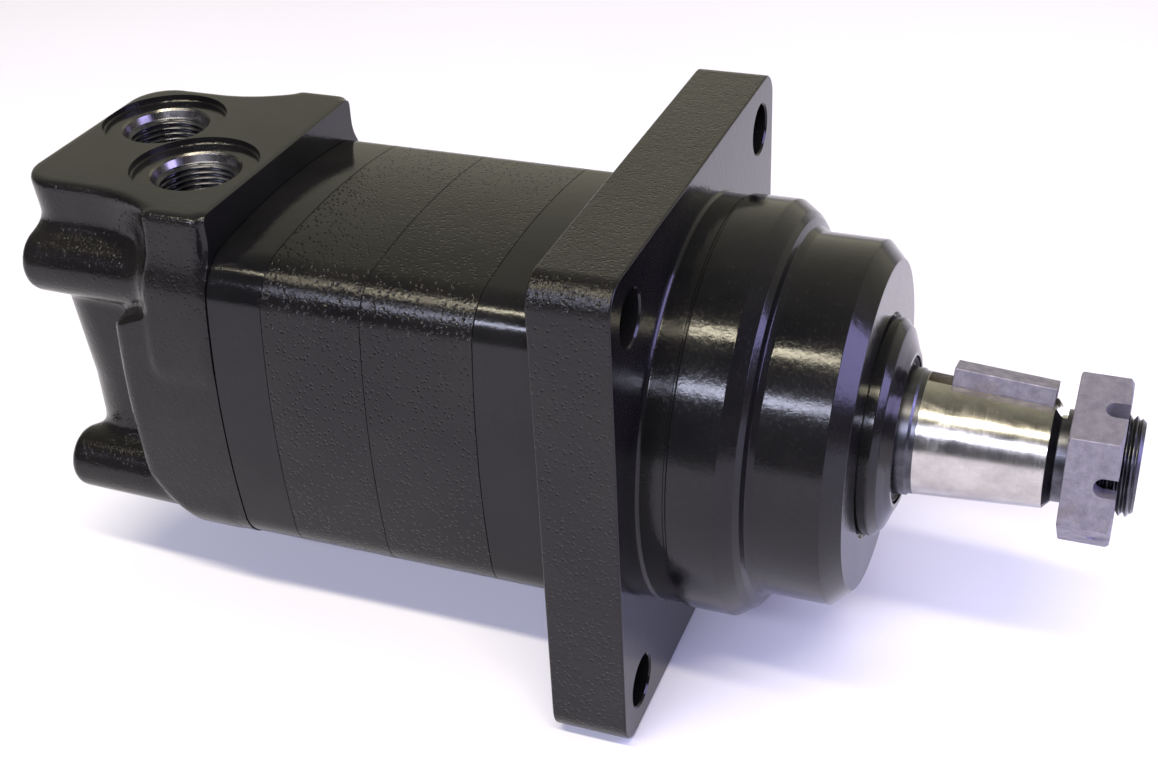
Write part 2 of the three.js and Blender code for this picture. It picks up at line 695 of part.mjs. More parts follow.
function tieBolt() {
  const head = BOSS_REAR + COUNTERBORE_DEPTH - GAP;
  const rear = head - BOLT_HEAD_LENGTH;
  const chamfer = 0.8;
  return cut(turned([
    [rear, 0],
    [rear, BOLT_HEAD_RADIUS - chamfer],
    [rear + chamfer, BOLT_HEAD_RADIUS],
    [head, BOLT_HEAD_RADIUS],
    [head, BOLT_RADIUS],
    [BOLT_TIP - 1, BOLT_RADIUS],
    [BOLT_TIP, BOLT_RADIUS - 1],
    [BOLT_TIP, 0],
  ], COARSE), alongShaft(hexagon(BOLT_SOCKET_FLATS), rear - 1, rear + BOLT_SOCKET_DEPTH));
}

corners(BOLT_OFFSET).forEach(([y, z], i) => {
  add(`tie_bolt_${i + 1}`, tieBolt(), darkSteel, [0, y, z]);
});

// ---- Geroler: rolls and rotor ----

// The roll centres' path seen from the rotor, moved in by a roll and the running clearance.
function rotorOutline() {
  const inset = ROLL_RADIUS + GAP;
  return Array.from({ length: ROTOR_STEPS }, (unused, i) => {
    const t = 2 * Math.PI * i / ROTOR_STEPS;
    const lobe = ROLL_COUNT * t;
    const alongY = -ROLL_CIRCLE * Math.sin(t) + ROLL_COUNT * ECCENTRICITY * Math.sin(lobe);
    const alongZ = ROLL_CIRCLE * Math.cos(t) - ROLL_COUNT * ECCENTRICITY * Math.cos(lobe);
    const length = Math.hypot(alongY, alongZ);
    return new THREE.Vector2(
      ROLL_CIRCLE * Math.cos(t) - ECCENTRICITY * Math.cos(lobe) - inset * alongZ / length,
      ROLL_CIRCLE * Math.sin(t) - ECCENTRICITY * Math.sin(lobe) + inset * alongY / length);
  });
}

function rotor() {
  const front = WEAR_PLATE_REAR - GAP * 1.5;
  const rear = GEROLER_REAR + GAP * 1.5;
  return cut(alongShaft(rotorOutline(), rear, front), internalSpline(SPLINE, rear - 1, front + 1));
}

rollPlaces().forEach(([y, z], i) => {
  const roll = rod(GEROLER_REAR + GAP * 1.5, WEAR_PLATE_REAR - GAP * 1.5, ROLL_RADIUS, ROUND);
  add(`roll_${i + 1}`, roll, brightSteel, [0, y, z]);
});
add('rotor', rotor(), brightSteel, [0, ECCENTRICITY, 0]);

// ---- Splined drives, which swing with the orbiting rotor ----

function splinedEnd(spline, centre, length) {
  return alongShaft(splineOutline(spline.outerRoot, spline.outerTip, spline.toothHalf),
    centre - length / 2, centre + length / 2);
}

// Places a drive so that it runs from one centre on the shaft axis to one on the rotor axis.
function leaning(fixedX, movingX) {
  const holder = new THREE.Group();
  holder.position.set(fixedX, 0, 0);
  holder.rotation.z = Math.atan2(ECCENTRICITY, movingX - fixedX) + (movingX < fixedX ? Math.PI : 0);
  motor.add(holder);
  return holder;
}

function driveShaft() {
  const length = DRIVE_FRONT_CENTRE - DRIVE_REAR_CENTRE;
  const half = DRIVE.spline / 2;
  return join(
    splinedEnd(SPLINE, 0, DRIVE.spline),
    splinedEnd(SPLINE, -length, DRIVE.spline),
    turned([
      [-length - half - 1, 0],
      [-length - half - 1, DRIVE.rearNose],
      [-length - half + 1, DRIVE.barrel],
      [-length + half, DRIVE.barrel],
      [-length + half + 6, DRIVE.waist],
      [-half - 4, DRIVE.waist],
      [1 - half, DRIVE.barrel],
      [half, DRIVE.barrel],
      [half + 2.5, DRIVE.frontNose],
      [half + 2.5, 0],
    ], COARSE));
}

function valveDrive() {
  const length = VALVE_DRIVE_FRONT_CENTRE - VALVE_DRIVE_REAR_CENTRE;
  const frontHalf = VALVE_DRIVE.frontSpline / 2;
  const rearHalf = VALVE_DRIVE.rearSpline / 2;
  return join(
    splinedEnd({ ...SPLINE, outerTip: 17, outerRoot: 14 }, length, VALVE_DRIVE.frontSpline),
    splinedEnd(VALVE_SPLINE, 0, VALVE_DRIVE.rearSpline),
    turned([
      [-rearHalf - 1, 0],
      [-rearHalf - 1, VALVE_DRIVE.rearNose],
      [-rearHalf, VALVE_DRIVE.shank],
      [length - frontHalf - 4, VALVE_DRIVE.shank],
      [length - frontHalf, VALVE_DRIVE.barrel],
      [length + frontHalf, VALVE_DRIVE.barrel],
      [length + frontHalf + 1, VALVE_DRIVE.frontNose],
      [length + frontHalf + 1, 0],
    ], COARSE));
}

add('drive_shaft', driveShaft(), darkSteel, [0, 0, 0], leaning(DRIVE_FRONT_CENTRE, DRIVE_REAR_CENTRE));
add('valve_drive', valveDrive(), darkSteel, [0, 0, 0],
  leaning(VALVE_DRIVE_REAR_CENTRE, VALVE_DRIVE_FRONT_CENTRE));

function thrustButton() {
  return turned([
    [SHAFT_BORE_FRONT - BUTTON.length, 0],
    [SHAFT_BORE_FRONT - BUTTON.length + 2, BUTTON.rearRadius],
    [SHAFT_BORE_FRONT - GAP, BUTTON.frontRadius],
    [SHAFT_BORE_FRONT - GAP, 0],
  ], COARSE);
}

add('drive_thrust_button', thrustButton(), bronze);

// ---- Disc valve ----

function discValve() {
  const front = VALVE_PLATE_REAR - GAP;
  const rear = VALVE_CAVITY_REAR + DISC_VALVE.rearGap;
  const windows = Array.from({ length: WINDOW.count }, (unused, i) => {
    const place = polar(WINDOW.circle, 2 * Math.PI * i / WINDOW.count);
    const depth = i % 2 === 0 ? WINDOW.shallow : WINDOW.deep;
    return rod(front - depth, front + 1, WINDOW.radius, COARSE).translate(0, place.x, place.y);
  });
  const disc = turned([
    [rear, 0],
    [rear, DISC_VALVE.rearRadius],
    [rear + 4, DISC_VALVE.rearRadius],
    [rear + 6, DISC_VALVE.radius],
    [front, DISC_VALVE.radius],
    [front, 0],
  ], MEDIUM);
  return cut(disc, internalSpline(VALVE_SPLINE, rear - 1, front + 1), ...windows);
}

add('disc_valve', discValve(), brightSteel);

// ---- Output shaft, key and nut ----

function taperRadius(x) {
  return TAPER_END_RADIUS + (TAPER_END - x) * TAPER_SLOPE;
}

// A block that lies along the taper, its floor below the surface by the keyway's depth.
function keyBlock(x0, x1, width, height) {
  const block = box(0, x1 - x0, -width / 2, width / 2, 0, height);
  block.rotateY(Math.atan(TAPER_SLOPE));
  return block.translate(x0, 0, taperRadius(x0) - KEYWAY_DEPTH);
}

function outputShaft() {
  const body = turned([
    [SHAFT_HEAD_REAR, 0],
    [SHAFT_HEAD_REAR, SHAFT_HEAD_RADIUS - 1.5],
    [SHAFT_HEAD_REAR + 1.5, SHAFT_HEAD_RADIUS],
    [REAR_BEARING.rear - GAP, SHAFT_HEAD_RADIUS],
    [REAR_BEARING.rear - GAP, REAR_SEAT_RADIUS],
    [REAR_BEARING.front, REAR_SEAT_RADIUS],
    [REAR_BEARING.front, SHAFT_BODY_RADIUS],
    [FRONT_BEARING.rear - 1, SHAFT_BODY_RADIUS],
    [FRONT_BEARING.rear - 1, FRONT_SEAT_RADIUS],
    [FRONT_BEARING.front, FRONT_SEAT_RADIUS],
    [FRONT_BEARING.front, NUT_THREAD_RADIUS],
    [CARRIER_REAR - 0.5, NUT_THREAD_RADIUS],
    [CARRIER_REAR, JOURNAL_RADIUS],
    [TAPER_START - 0.5, JOURNAL_RADIUS],
    [TAPER_START, taperRadius(TAPER_START)],
    [TAPER_END, TAPER_END_RADIUS],
    [NECK_START, NECK_RADIUS],
    [NECK_END, NECK_RADIUS],
    [NECK_END + 1, THREAD_RADIUS],
    [THREAD_END - 1.5, THREAD_RADIUS],
    [THREAD_END, THREAD_RADIUS - 1.5],
    [THREAD_END, 0],
  ], MEDIUM);
  const keyway = keyBlock(KEYWAY_START, TAPER_END + 4, KEY_WIDTH + 2 * GAP, KEY_HEIGHT);
  const splineBore = internalSpline(SPLINE, SHAFT_HEAD_REAR - 1, -24);
  const endBore = rod(-25, SHAFT_BORE_FRONT, SPLINE.innerRoot, MEDIUM);
  return cut(body, keyway.rotateX(-KEY_TILT), splineBore, endBore);
}

function key() {
  const slope = Math.atan(TAPER_SLOPE);
  const floor = GAP / Math.cos(slope);
  return keyBlock(KEY_START, KEY_END, KEY_WIDTH, KEY_HEIGHT).translate(0, 0, floor).rotateX(-KEY_TILT);
}

function slottedNut() {
  const front = NUT_REAR + NUT_THICKNESS;
  const blank = common(
    alongShaft(hexagon(NUT_ACROSS_FLATS), NUT_REAR, front),
    turned([
      [NUT_REAR, 0],
      [NUT_REAR, NUT_ACROSS_FLATS / 2],
      [NUT_REAR + 1.8, NUT_ACROSS_FLATS / 2 + 4],
      [front - 1.8, NUT_ACROSS_FLATS / 2 + 4],
      [front, NUT_ACROSS_FLATS / 2],
      [front, 0],
    ], FINE));
  const slots = [0, 1, 2].map((i) => {
    const half = NUT_SLOT_WIDTH / 2;
    const slot = box(front - NUT_SLOT_DEPTH, front + 1, -NUT_ACROSS_FLATS, NUT_ACROSS_FLATS, -half, half);
    return slot.rotateX(Math.PI / 6 + i * Math.PI / 3);
  });
  const bore = rod(NUT_REAR - 1, front + 1, THREAD_RADIUS + GAP, MEDIUM);
  return cut(blank, bore, ...slots).rotateX(NUT_TURN);
}

add('output_shaft', outputShaft(), brightSteel);
add('shaft_key', key(), zincSteel);
add('slotted_nut', slottedNut(), zincSteel);

// ---- Tapered roller bearings, wide end towards the middle of the housing or away from it ----

function bearing(name, size, wideEnd) {
  const middle = (size.front + size.rear) / 2;
  const half = (size.front - size.rear) / 2;
  const mean = (size.bore + size.outside) / 2;
  const lean = (x) => mean + wideEnd * BEARING_SLOPE * (x - middle);
  const reach = size.rollRadius + 0.5;
  const cup = turned([
    [size.rear, lean(size.rear) + reach],
    [size.rear, size.outside],
    [size.front, size.outside],
    [size.front, lean(size.front) + reach],
  ]);
  const cone = turned([
    [size.rear, size.bore + GAP],
    [size.rear, lean(size.rear) - reach],
    [size.front, lean(size.front) - reach],
    [size.front, size.bore + GAP],
  ]);
  const rollLength = 2 * half - 5;
  const axis = Math.atan(BEARING_SLOPE) * wideEnd;
  const rolls = Array.from({ length: size.rolls }, (unused, i) => {
    const blank = rod(-rollLength / 2, rollLength / 2, size.rollRadius, 6);
    blank.rotateZ(axis).translate(middle, mean, 0);
    return blank.rotateX(2 * Math.PI * i / size.rolls);
  });
  const cageHalf = rollLength / 2 + 1;
  const cage = turned([
    [middle - cageHalf, lean(middle - cageHalf) - 1],
    [middle - cageHalf, lean(middle - cageHalf) + 1],
    [middle + cageHalf, lean(middle + cageHalf) + 1],
    [middle + cageHalf, lean(middle + cageHalf) - 1],
  ]);
  add(`${name}_bearing_cup`, cup, brightSteel);
  add(`${name}_bearing_cone`, cone, brightSteel);
  add(`${name}_bearing_rollers`, join(cage, ...rolls), brightSteel);
}

bearing('front', FRONT_BEARING, 1);
bearing('rear', REAR_BEARING, -1);

add('bearing_spacer', tube(REAR_BEARING.front + GAP, FRONT_BEARING.rear - GAP,
  SHAFT_BODY_RADIUS + GAP, SPACER_RADIUS), darkSteel);

function bearingNut() {
  const rear = FRONT_BEARING.front + GAP;
  const front = CARRIER_REAR - 1;
  const reach = BEARING_NUT.outside + 1;
  const half = BEARING_NUT.slotWidth / 2;
  const slots = [0, 1].map((i) => box(front - BEARING_NUT.slotDepth, front + 1, -reach, reach, -half, half)
    .rotateX(i * Math.PI / 2));
  return cut(tube(rear, front, NUT_THREAD_RADIUS + GAP, BEARING_NUT.outside), ...slots);
}

add('bearing_nut', bearingNut(), darkSteel);

// ---- Seal carrier and shaft seals ----

function sealCarrier() {
  return turned([
    [CARRIER_REAR, CARRIER_SEAL_BORE],
    [CARRIER_REAR, CARRIER_RADIUS],
    [CARRIER_GROOVE.rear, CARRIER_RADIUS],
    [CARRIER_GROOVE.rear, CARRIER_RADIUS - CARRIER_GROOVE.depth],
    [CARRIER_GROOVE.front, CARRIER_RADIUS - CARRIER_GROOVE.depth],
    [CARRIER_GROOVE.front, CARRIER_RADIUS],
    [NOSE_END + 3.6, CARRIER_RADIUS],
    [NOSE_END + 5.8, CARRIER_RADIUS - 2.4],
    [CARRIER_FRONT, CARRIER_FACE_RADIUS],
    [CARRIER_FRONT, CARRIER_LIP_RADIUS + WIPER_SEAT_DEPTH],
    [CARRIER_LIP.front, CARRIER_LIP_RADIUS + WIPER_SEAT_DEPTH],
    [CARRIER_LIP.front, CARRIER_LIP_RADIUS],
    [CARRIER_LIP.rear, CARRIER_LIP_RADIUS],
    [CARRIER_LIP.rear, CARRIER_SEAL_BORE],
  ], MEDIUM);
}

// U-shaped: an outer wall, a web at the front and a lip that leans back along the journal.
function shaftSeal() {
  const outer = CARRIER_SEAL_BORE - GAP;
  const webRear = SEAL_BODY.front - SEAL_BODY.web;
  return turned([
    [SEAL_BODY.lipRear, SEAL_BODY.lip],
    [SEAL_BODY.lipRear, SEAL_BODY.lip + SEAL_BODY.web],
    [webRear, SEAL_BODY.lip + SEAL_BODY.web + 0.5],
    [webRear, outer - SEAL_BODY.wall],
    [SEAL_BODY.rear, outer - SEAL_BODY.wall],
    [SEAL_BODY.rear, outer],
    [SEAL_BODY.front, outer],
    [SEAL_BODY.front, SEAL_BODY.lip + 0.5],
    [SEAL_BODY.lipRear + 3.5, SEAL_BODY.lip + 0.5],
  ]);
}

add('seal_carrier', sealCarrier(), blackPaint);
function retainingRing() {
  const half = CIRCLIP.mouth / 2;
  return cut(tube(CIRCLIP.rear, CIRCLIP.front, CIRCLIP.inner, CARRIER_SEAL_BORE - GAP),
    box(CIRCLIP.rear - 1, CIRCLIP.front + 1, -half, half, -CARRIER_RADIUS, -JOURNAL_RADIUS));
}

add('carrier_o_ring', tube(CARRIER_GROOVE.rear + GAP, CARRIER_GROOVE.front - GAP,
  CARRIER_RADIUS - CARRIER_GROOVE.depth + GAP, CARRIER_RADIUS + SEAL_PROUD), rubber);
add('shaft_seal', shaftSeal(), rubber);
add('backup_washer', tube(WASHER.rear, WASHER.front, JOURNAL_RADIUS + 0.5,
  CARRIER_SEAL_BORE - GAP), brightSteel);
add('retaining_ring', retainingRing(), darkSteel);
add('dust_wiper', tube(CARRIER_LIP.front + GAP, CARRIER_FRONT - 2 * GAP, CARRIER_LIP_RADIUS,
  CARRIER_LIP_RADIUS + WIPER_SEAT_DEPTH - GAP), rubber);

export default motor;
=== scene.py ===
"""Looks of a wheel-mount orbital hydraulic motor: castings, machined faces, threads, paint and steel.

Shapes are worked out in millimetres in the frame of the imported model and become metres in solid().
+X runs out along the output shaft, +Z up out of the ports, and the flange's front face is at x = 0.
"""

import json
import math

import bmesh
import bpy
import numpy as np
from mathutils import Matrix, Vector

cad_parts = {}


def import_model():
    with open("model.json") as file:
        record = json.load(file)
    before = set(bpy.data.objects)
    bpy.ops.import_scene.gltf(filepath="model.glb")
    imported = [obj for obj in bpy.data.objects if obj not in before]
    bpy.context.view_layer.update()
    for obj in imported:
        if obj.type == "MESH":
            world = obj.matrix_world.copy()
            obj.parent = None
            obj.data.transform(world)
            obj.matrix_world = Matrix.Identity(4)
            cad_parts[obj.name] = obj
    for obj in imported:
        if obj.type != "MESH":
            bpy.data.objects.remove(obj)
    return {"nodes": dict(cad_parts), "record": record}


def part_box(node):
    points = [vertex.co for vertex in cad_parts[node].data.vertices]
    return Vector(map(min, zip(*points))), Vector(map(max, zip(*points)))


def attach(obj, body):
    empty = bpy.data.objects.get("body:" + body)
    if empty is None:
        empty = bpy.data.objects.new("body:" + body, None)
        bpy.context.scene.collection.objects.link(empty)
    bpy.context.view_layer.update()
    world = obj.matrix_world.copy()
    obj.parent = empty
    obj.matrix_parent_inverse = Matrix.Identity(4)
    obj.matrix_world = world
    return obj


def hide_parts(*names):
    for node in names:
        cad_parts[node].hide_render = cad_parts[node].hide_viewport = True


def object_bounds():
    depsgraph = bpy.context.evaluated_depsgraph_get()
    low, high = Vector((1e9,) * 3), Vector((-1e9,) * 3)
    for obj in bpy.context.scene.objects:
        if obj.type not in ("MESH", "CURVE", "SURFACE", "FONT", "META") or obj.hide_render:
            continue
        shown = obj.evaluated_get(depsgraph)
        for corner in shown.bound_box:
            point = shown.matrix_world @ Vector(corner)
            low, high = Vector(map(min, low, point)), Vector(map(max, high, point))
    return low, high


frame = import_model()
cad_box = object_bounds()

MM = 0.001


def cad(node):
    """Lowest and highest corner of a CAD node, in millimetres."""
    low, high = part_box(node)
    return low / MM, high / MM


# ---- Driving dimensions, taken from the frame where it holds them --------------------------------

FINE = 144  # sides of the large turned pieces
MEDIUM = 72  # sides of the smaller ones
GAP = 0.3

HOUSING_LOW, HOUSING_HIGH = cad("bearing_housing")
WEAR_LOW, WEAR_HIGH = cad("wear_plate")
RING_LOW, RING_HIGH = cad("geroler_ring")
PLATE_LOW, PLATE_HIGH = cad("valve_plate")
VALVE_LOW, VALVE_HIGH = cad("valve_housing")
SHAFT_LOW, SHAFT_HIGH = cad("output_shaft")
NUT_LOW, NUT_HIGH = cad("slotted_nut")
CARRIER_LOW, CARRIER_HIGH = cad("seal_carrier")
BOLT_LOW, BOLT_HIGH = cad("tie_bolt_1")
DRAIN_LOW, DRAIN_HIGH = cad("drain_plug")
DRAIN_Z = (DRAIN_LOW.z + DRAIN_HIGH.z) / 2

FLANGE_HALF = HOUSING_HIGH.y
FLANGE_REAR = -25.4
FLANGE_CORNER = 10
MOUNT_HOLE_OFFSET = 68.4
MOUNT_HOLE_RADIUS = 8.75
NOSE_END = HOUSING_HIGH.x
NOSE_RADIUS = 60.4
NOSE_START = 33
NOSE_CHAMFER = 5.8
PILOT_RADIUS = 69.85
PILOT_START = 9.5
PILOT_END = 24.5
RELIEF_RADIUS = 69.1

# Bores inside the bearing housing, from the rear bearing's cup to the seal carrier's
CUP_BORE_RADIUS = 45.2
CUP_BORE_FRONT = -9.7
MIDDLE_BORE_RADIUS = 34
MIDDLE_BORE_FRONT = 18.7

BODY_HALF = WEAR_HIGH.z
BODY_SIDE_RADIUS = 300
BODY_CORNER = 17
SEAM = 0.3  # rounding of the plates' edges, which shows as a fine line at each joint
CLOSE = 0.11  # how far each face of the stack moves into the CAD's gap

PAD_TOP = VALVE_HIGH.z
PORTS = ((-175.6, -15.6), (-207.5, 15.6))
PAD_EDGE = 3
SPOTFACE_RADIUS = 22.2
SPOTFACE_DEPTH = 2.6
SEAT_RADIUS = 15.9
PORT_MINOR = 13.0
PORT_MAJOR = 14.1
PORT_DEPTH = 24
PASSAGE_RADIUS = 9.5
PITCH = 25.4 / 12

# The valve housing as cast
SECTION_REAR = -189.5
CORE_HALF = 42.8
CORE_BOTTOM = -46
SLAB_REAR = -173
SLAB_FRONT = -153.2
SLAB_HALF = 53
DRAIN_BOSS_RADIUS = 12
CELL = 0.95  # size of the cells that the casting's skin is found with

# Cavities of the valve housing, from the disc valve to the end of the centre bore
VALVE_CAVITY_RADIUS = 38
VALVE_CAVITY_REAR = -170
BALANCE_CAVITY_RADIUS = 31
BALANCE_CAVITY_REAR = -185
CENTRE_BORE_RADIUS = 12
CENTRE_BORE_REAR = -214

BOLT_OFFSET = 41.6
BOLT_HOLE_RADIUS = 6.4
BOLT_HEAD_RADIUS = 9
BOLT_HEAD_LENGTH = 12
BOLT_RADIUS = 6
COUNTERBORE_DEPTH = 13.5
BOSS_RADIUS = 11.6
BOSS_REAR = VALVE_LOW.x + 3.5

SHAFT_HEAD_RADIUS = 36
SHAFT_HEAD_FRONT = -32.3
REAR_SEAT_RADIUS = 27.5
REAR_SEAT_FRONT = -10
SHAFT_BODY_RADIUS = 24.5
FRONT_SEAT_RADIUS = 22.6
FRONT_SEAT_REAR = 18
FRONT_SEAT_FRONT = 38
BEARING_NUT_RADIUS = 21.6
SPLINE_BORE_RADIUS = 18.4
SPLINE_BORE_FRONT = -24
THRUST_BORE_RADIUS = 18.2
THRUST_BORE_FRONT = -8
TAPER_START = 73
TAPER_END = 114.6
TAPER_END_RADIUS = 17.6
TAPER_SLOPE = 1 / 16
JOURNAL_RADIUS = 20.9
NECK_RADIUS = 14.9
NECK_START = 117
THREAD_START = 120.2
THREAD_RADIUS = 15.875
THREAD_ROOT = 14.7
KEY_TILT = math.radians(-14)
KEY_WIDTH = 9.5
KEY_START = 82
KEY_END = 114
KEYWAY_START = 74.5
KEYWAY_DEPTH = 4.6
NUT_TURN = math.radians(15)
NUT_ACROSS_FLATS = 48.9
NUT_SLOT_WIDTH = 6
NUT_SLOT_DEPTH = 7
STAIN_END = 74.6  # the taper is oily and dark up to here


# ---- Mesh helpers --------------------------------------------------------------------------------


def solid(name, points, faces):
    """A mesh object from points in millimetres."""
    mesh = bpy.data.meshes.new(name)
    mesh.from_pydata([tuple(c * MM for c in point) for point in points], [], faces)
    mesh.validate()
    body = bmesh.new()
    body.from_mesh(mesh)
    bmesh.ops.remove_doubles(body, verts=body.verts, dist=1e-7)
    bmesh.ops.recalc_face_normals(body, faces=body.faces)
    body.to_mesh(mesh)
    body.free()
    made = bpy.data.objects.new(name, mesh)
    bpy.context.scene.collection.objects.link(made)
    return made


def rings(name, loops, closed=False):
    """Skin over loops of equal length. Open skins get a flat face at both ends."""
    count = len(loops[0])
    points = [point for loop in loops for point in loop]
    faces = []
    spans = len(loops) if closed else len(loops) - 1
    for i in range(spans):
        near, far = i * count, ((i + 1) % len(loops)) * count
        faces += [(near + k, near + (k + 1) % count, far + (k + 1) % count, far + k) for k in range(count)]
    if not closed:
        faces.append(tuple(range(count)))
        faces.append(tuple((len(loops) - 1) * count + k for k in range(count)))
    return solid(name, points, faces)


def circle(x, radius, sides, centre=(0, 0)):
    step = 2 * math.pi / sides
    return [
        (x, centre[0] + radius * math.cos(step * k), centre[1] + radius * math.sin(step * k))
        for k in range(sides)
    ]


def rounded(profile):
    """Profile points (x, radius) or (x, radius, rounding): corners with a rounding become arcs."""
    out = []
    last = len(profile) - 1
    for i, point in enumerate(profile):
        here = Vector(point[:2])
        reach = point[2] if len(point) > 2 else 0
        if not reach or i in (0, last):
            out.append(tuple(here))
            continue
        back = Vector(profile[i - 1][:2]) - here
        ahead = Vector(profile[i + 1][:2]) - here
        half = back.angle(ahead) / 2
        cut = min(reach / math.tan(half), back.length * 0.49, ahead.length * 0.49)
        reach = cut * math.tan(half)
        middle = here + (back.normalized() + ahead.normalized()).normalized() * (reach / math.sin(half))
        start = here + back.normalized() * cut - middle
        end = here + ahead.normalized() * cut - middle
        steps = max(2, math.ceil(start.angle(end) / math.radians(18)))
        turn = start.angle_signed(end)
        for k in range(steps + 1):
            angle = -turn * k / steps
            spoke = Vector((
                start.x * math.cos(angle) - start.y * math.sin(angle),
                start.x * math.sin(angle) + start.y * math.cos(angle),
            ))
            out.append(tuple(middle + spoke))
    return out


def turned(name, profile, sides=FINE, centre=(0, 0)):
    """A piece turned about X. A profile that leaves the axis closes on itself."""
    points = rounded(profile)
    on_axis = points[0][1] == 0
    if on_axis:
        points = points[1:-1]
    return rings(name, [circle(x, radius, sides, centre) for x, radius in points], closed=not on_axis)


def bore(x0, x1, radius, sides=MEDIUM, centre=(0, 0)):
    return turned("bore", [(x0, 0), (x0, radius), (x1, radius), (x1, 0)], sides, centre)


def groove(x0, x1, inner, outer, sides=FINE):
    return turned("groove", [(x0, inner), (x0, outer), (x1, outer), (x1, inner)], sides)


def block(x0, x1, y0, y1, z0, z1, name="block"):
    points = [(x, y, z) for x in (x0, x1) for y in (y0, y1) for z in (z0, z1)]
    faces = [(0, 1, 3, 2), (4, 6, 7, 5), (0, 4, 5, 1), (2, 3, 7, 6), (0, 2, 6, 4), (1, 5, 7, 3)]
    return solid(name, points, faces)


def prism(name, outline, x0, x1, edge, steps=4):
    """outline(inset) gives YZ points; it is drawn out along X with both ends' edges rounded."""
    quarter = [math.pi / 2 * k / steps for k in range(steps + 1)]
    ends = [(x0 + edge * (1 - math.cos(a)), edge * (1 - math.sin(a))) for a in quarter]
    ends += [(x1 - edge * (1 - math.cos(a)), edge * (1 - math.sin(a))) for a in reversed(quarter)]
    return rings(name, [[(x, y, z) for y, z in outline(inset)] for x, inset in ends])


def arc(centre, radius, start, end, steps):
    return [
        (
            centre[0] + radius * math.cos(start + (end - start) * k / steps),
            centre[1] + radius * math.sin(start + (end - start) * k / steps),
        )
        for k in range(steps + 1)
    ]


def square(half, corner):
    """Outline of a rounded square, to be inset by the edge rounding."""
    quarter = math.pi / 2

    def outline(inset):
        radius = max(corner - inset, 0.05)
        reach = half - inset - radius
        centres = ((reach, reach), (-reach, reach), (-reach, -reach), (reach, -reach))
        return [p for k, c in enumerate(centres) for p in arc(c, radius, k * quarter, (k + 1) * quarter, 10)]

    return outline


def body_corner(half, corner=BODY_CORNER):
    """Where the corner arcs of the body outline are centred, and the angle where they meet the sides."""
    side = BODY_SIDE_RADIUS - half
    reach = BODY_SIDE_RADIUS - corner
    centre = (math.sqrt(2 * reach**2 - side**2) - side) / 2
    return centre, math.atan2(centre, centre + side)


def body_outline(half):
    """Square with gently bowed sides and rounded corners."""

    def outline(inset):
        corner = BODY_CORNER - inset
        centre, tangent = body_corner(half - inset, corner)
        side = BODY_SIDE_RADIUS - half + inset
        quarter = math.pi / 2
        points = []
        for k in range(4):
            turn = k * quarter
            hub = (-side * math.cos(turn), -side * math.sin(turn))
            points += arc(hub, BODY_SIDE_RADIUS, turn - tangent, turn + tangent, 16)
            distance = centre * math.sqrt(2)
            hub = (distance * math.cos(turn + quarter / 2), distance * math.sin(turn + quarter / 2))
            points += arc(hub, corner, turn + tangent, turn + quarter - tangent, 14)[1:-1]
        return points

    return outline


def hexagon(across_flats, corner=0.5):
    def outline(inset):
        reach = (across_flats / 2 - corner) / math.cos(math.pi / 6)
        points = []
        for k in range(6):
            turn = k * math.pi / 3
            hub = (reach * math.cos(turn), reach * math.sin(turn))
            points += arc(hub, max(corner - inset, 0.02), turn - math.pi / 6, turn + math.pi / 6, 3)
        return points

    return outline


def screw(x0, x1, root, crest, limit=None, sides=MEDIUM, name="screw"):
    """A closed threaded rod. limit(x) caps the radius, for the chamfers at its ends."""
    rows = max(2, round((x1 - x0) / PITCH * 10))
    loops = []
    for i in range(rows + 1):
        x = x0 + (x1 - x0) * i / rows
        loop = []
        for k in range(sides):
            angle = 2 * math.pi * k / sides
            phase = (x - x0) / PITCH - k / sides
            flank = 1 - abs(2 * (phase - math.floor(phase)) - 1)
            radius = root + (crest - root) * min(max((flank - 0.15) / 0.7, 0), 1)
            if limit:
                radius = min(radius, limit(x))
            loop.append((x, radius * math.cos(angle), radius * math.sin(angle)))
        loops.append(loop)
    return rings(name, loops)


def combine(target, tools, operation="DIFFERENCE"):
    """Cuts or joins tools with the target, applies the result and removes the tools."""
    for tool in tools:
        step = target.modifiers.new(operation.lower(), "BOOLEAN")
        step.object = tool
        step.operation = operation
        step.solver = "MANIFOLD"
    bpy.context.view_layer.update()
    graph = bpy.context.evaluated_depsgraph_get()
    mesh = bpy.data.meshes.new_from_object(target.evaluated_get(graph))
    target.modifiers.clear()
    target.data = mesh
    for tool in tools:
        bpy.data.objects.remove(tool)
    return target


def turn_about_x(made, angle):
    made.data.transform(Matrix.Rotation(angle, 4, "X"))
    return made


def shift(made, x=0, y=0, z=0):
    made.data.transform(Matrix.Translation(Vector((x, y, z)) * MM))
    return made


def bevel(made, width, angle=35):
    step = made.modifiers.new("edge", "BEVEL")
    step.width = width * MM
    step.segments = 2
    step.limit_method = "ANGLE"
    step.angle_limit = math.radians(angle)
    step.harden_normals = False
    return made


def dress(made, body, materials, choose=None, replaces=(), sharp=32):
    """Shades a piece, gives it materials (choose(centre, normal) picks one) and hangs it on its body."""
    mesh = made.data
    mesh.materials.clear()
    for material in materials:
        mesh.materials.append(material)
    for polygon in mesh.polygons:
        polygon.use_smooth = True
        polygon.material_index = choose(polygon.center / MM, polygon.normal) if choose else 0
    mesh.set_sharp_from_angle(angle=math.radians(sharp))
    weighted = made.modifiers.new("weighted normals", "WEIGHTED_NORMAL")
    weighted.keep_sharp = True
    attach(made, body)
    if replaces:
        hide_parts(*replaces)
    return made


# ---- Cast surfaces from a distance field ---------------------------------------------------------


def smooth_min(a, b, k):
    h = np.clip(0.5 + 0.5 * (b - a) / k, 0, 1)
    return b + (a - b) * h - k * h * (1 - h)


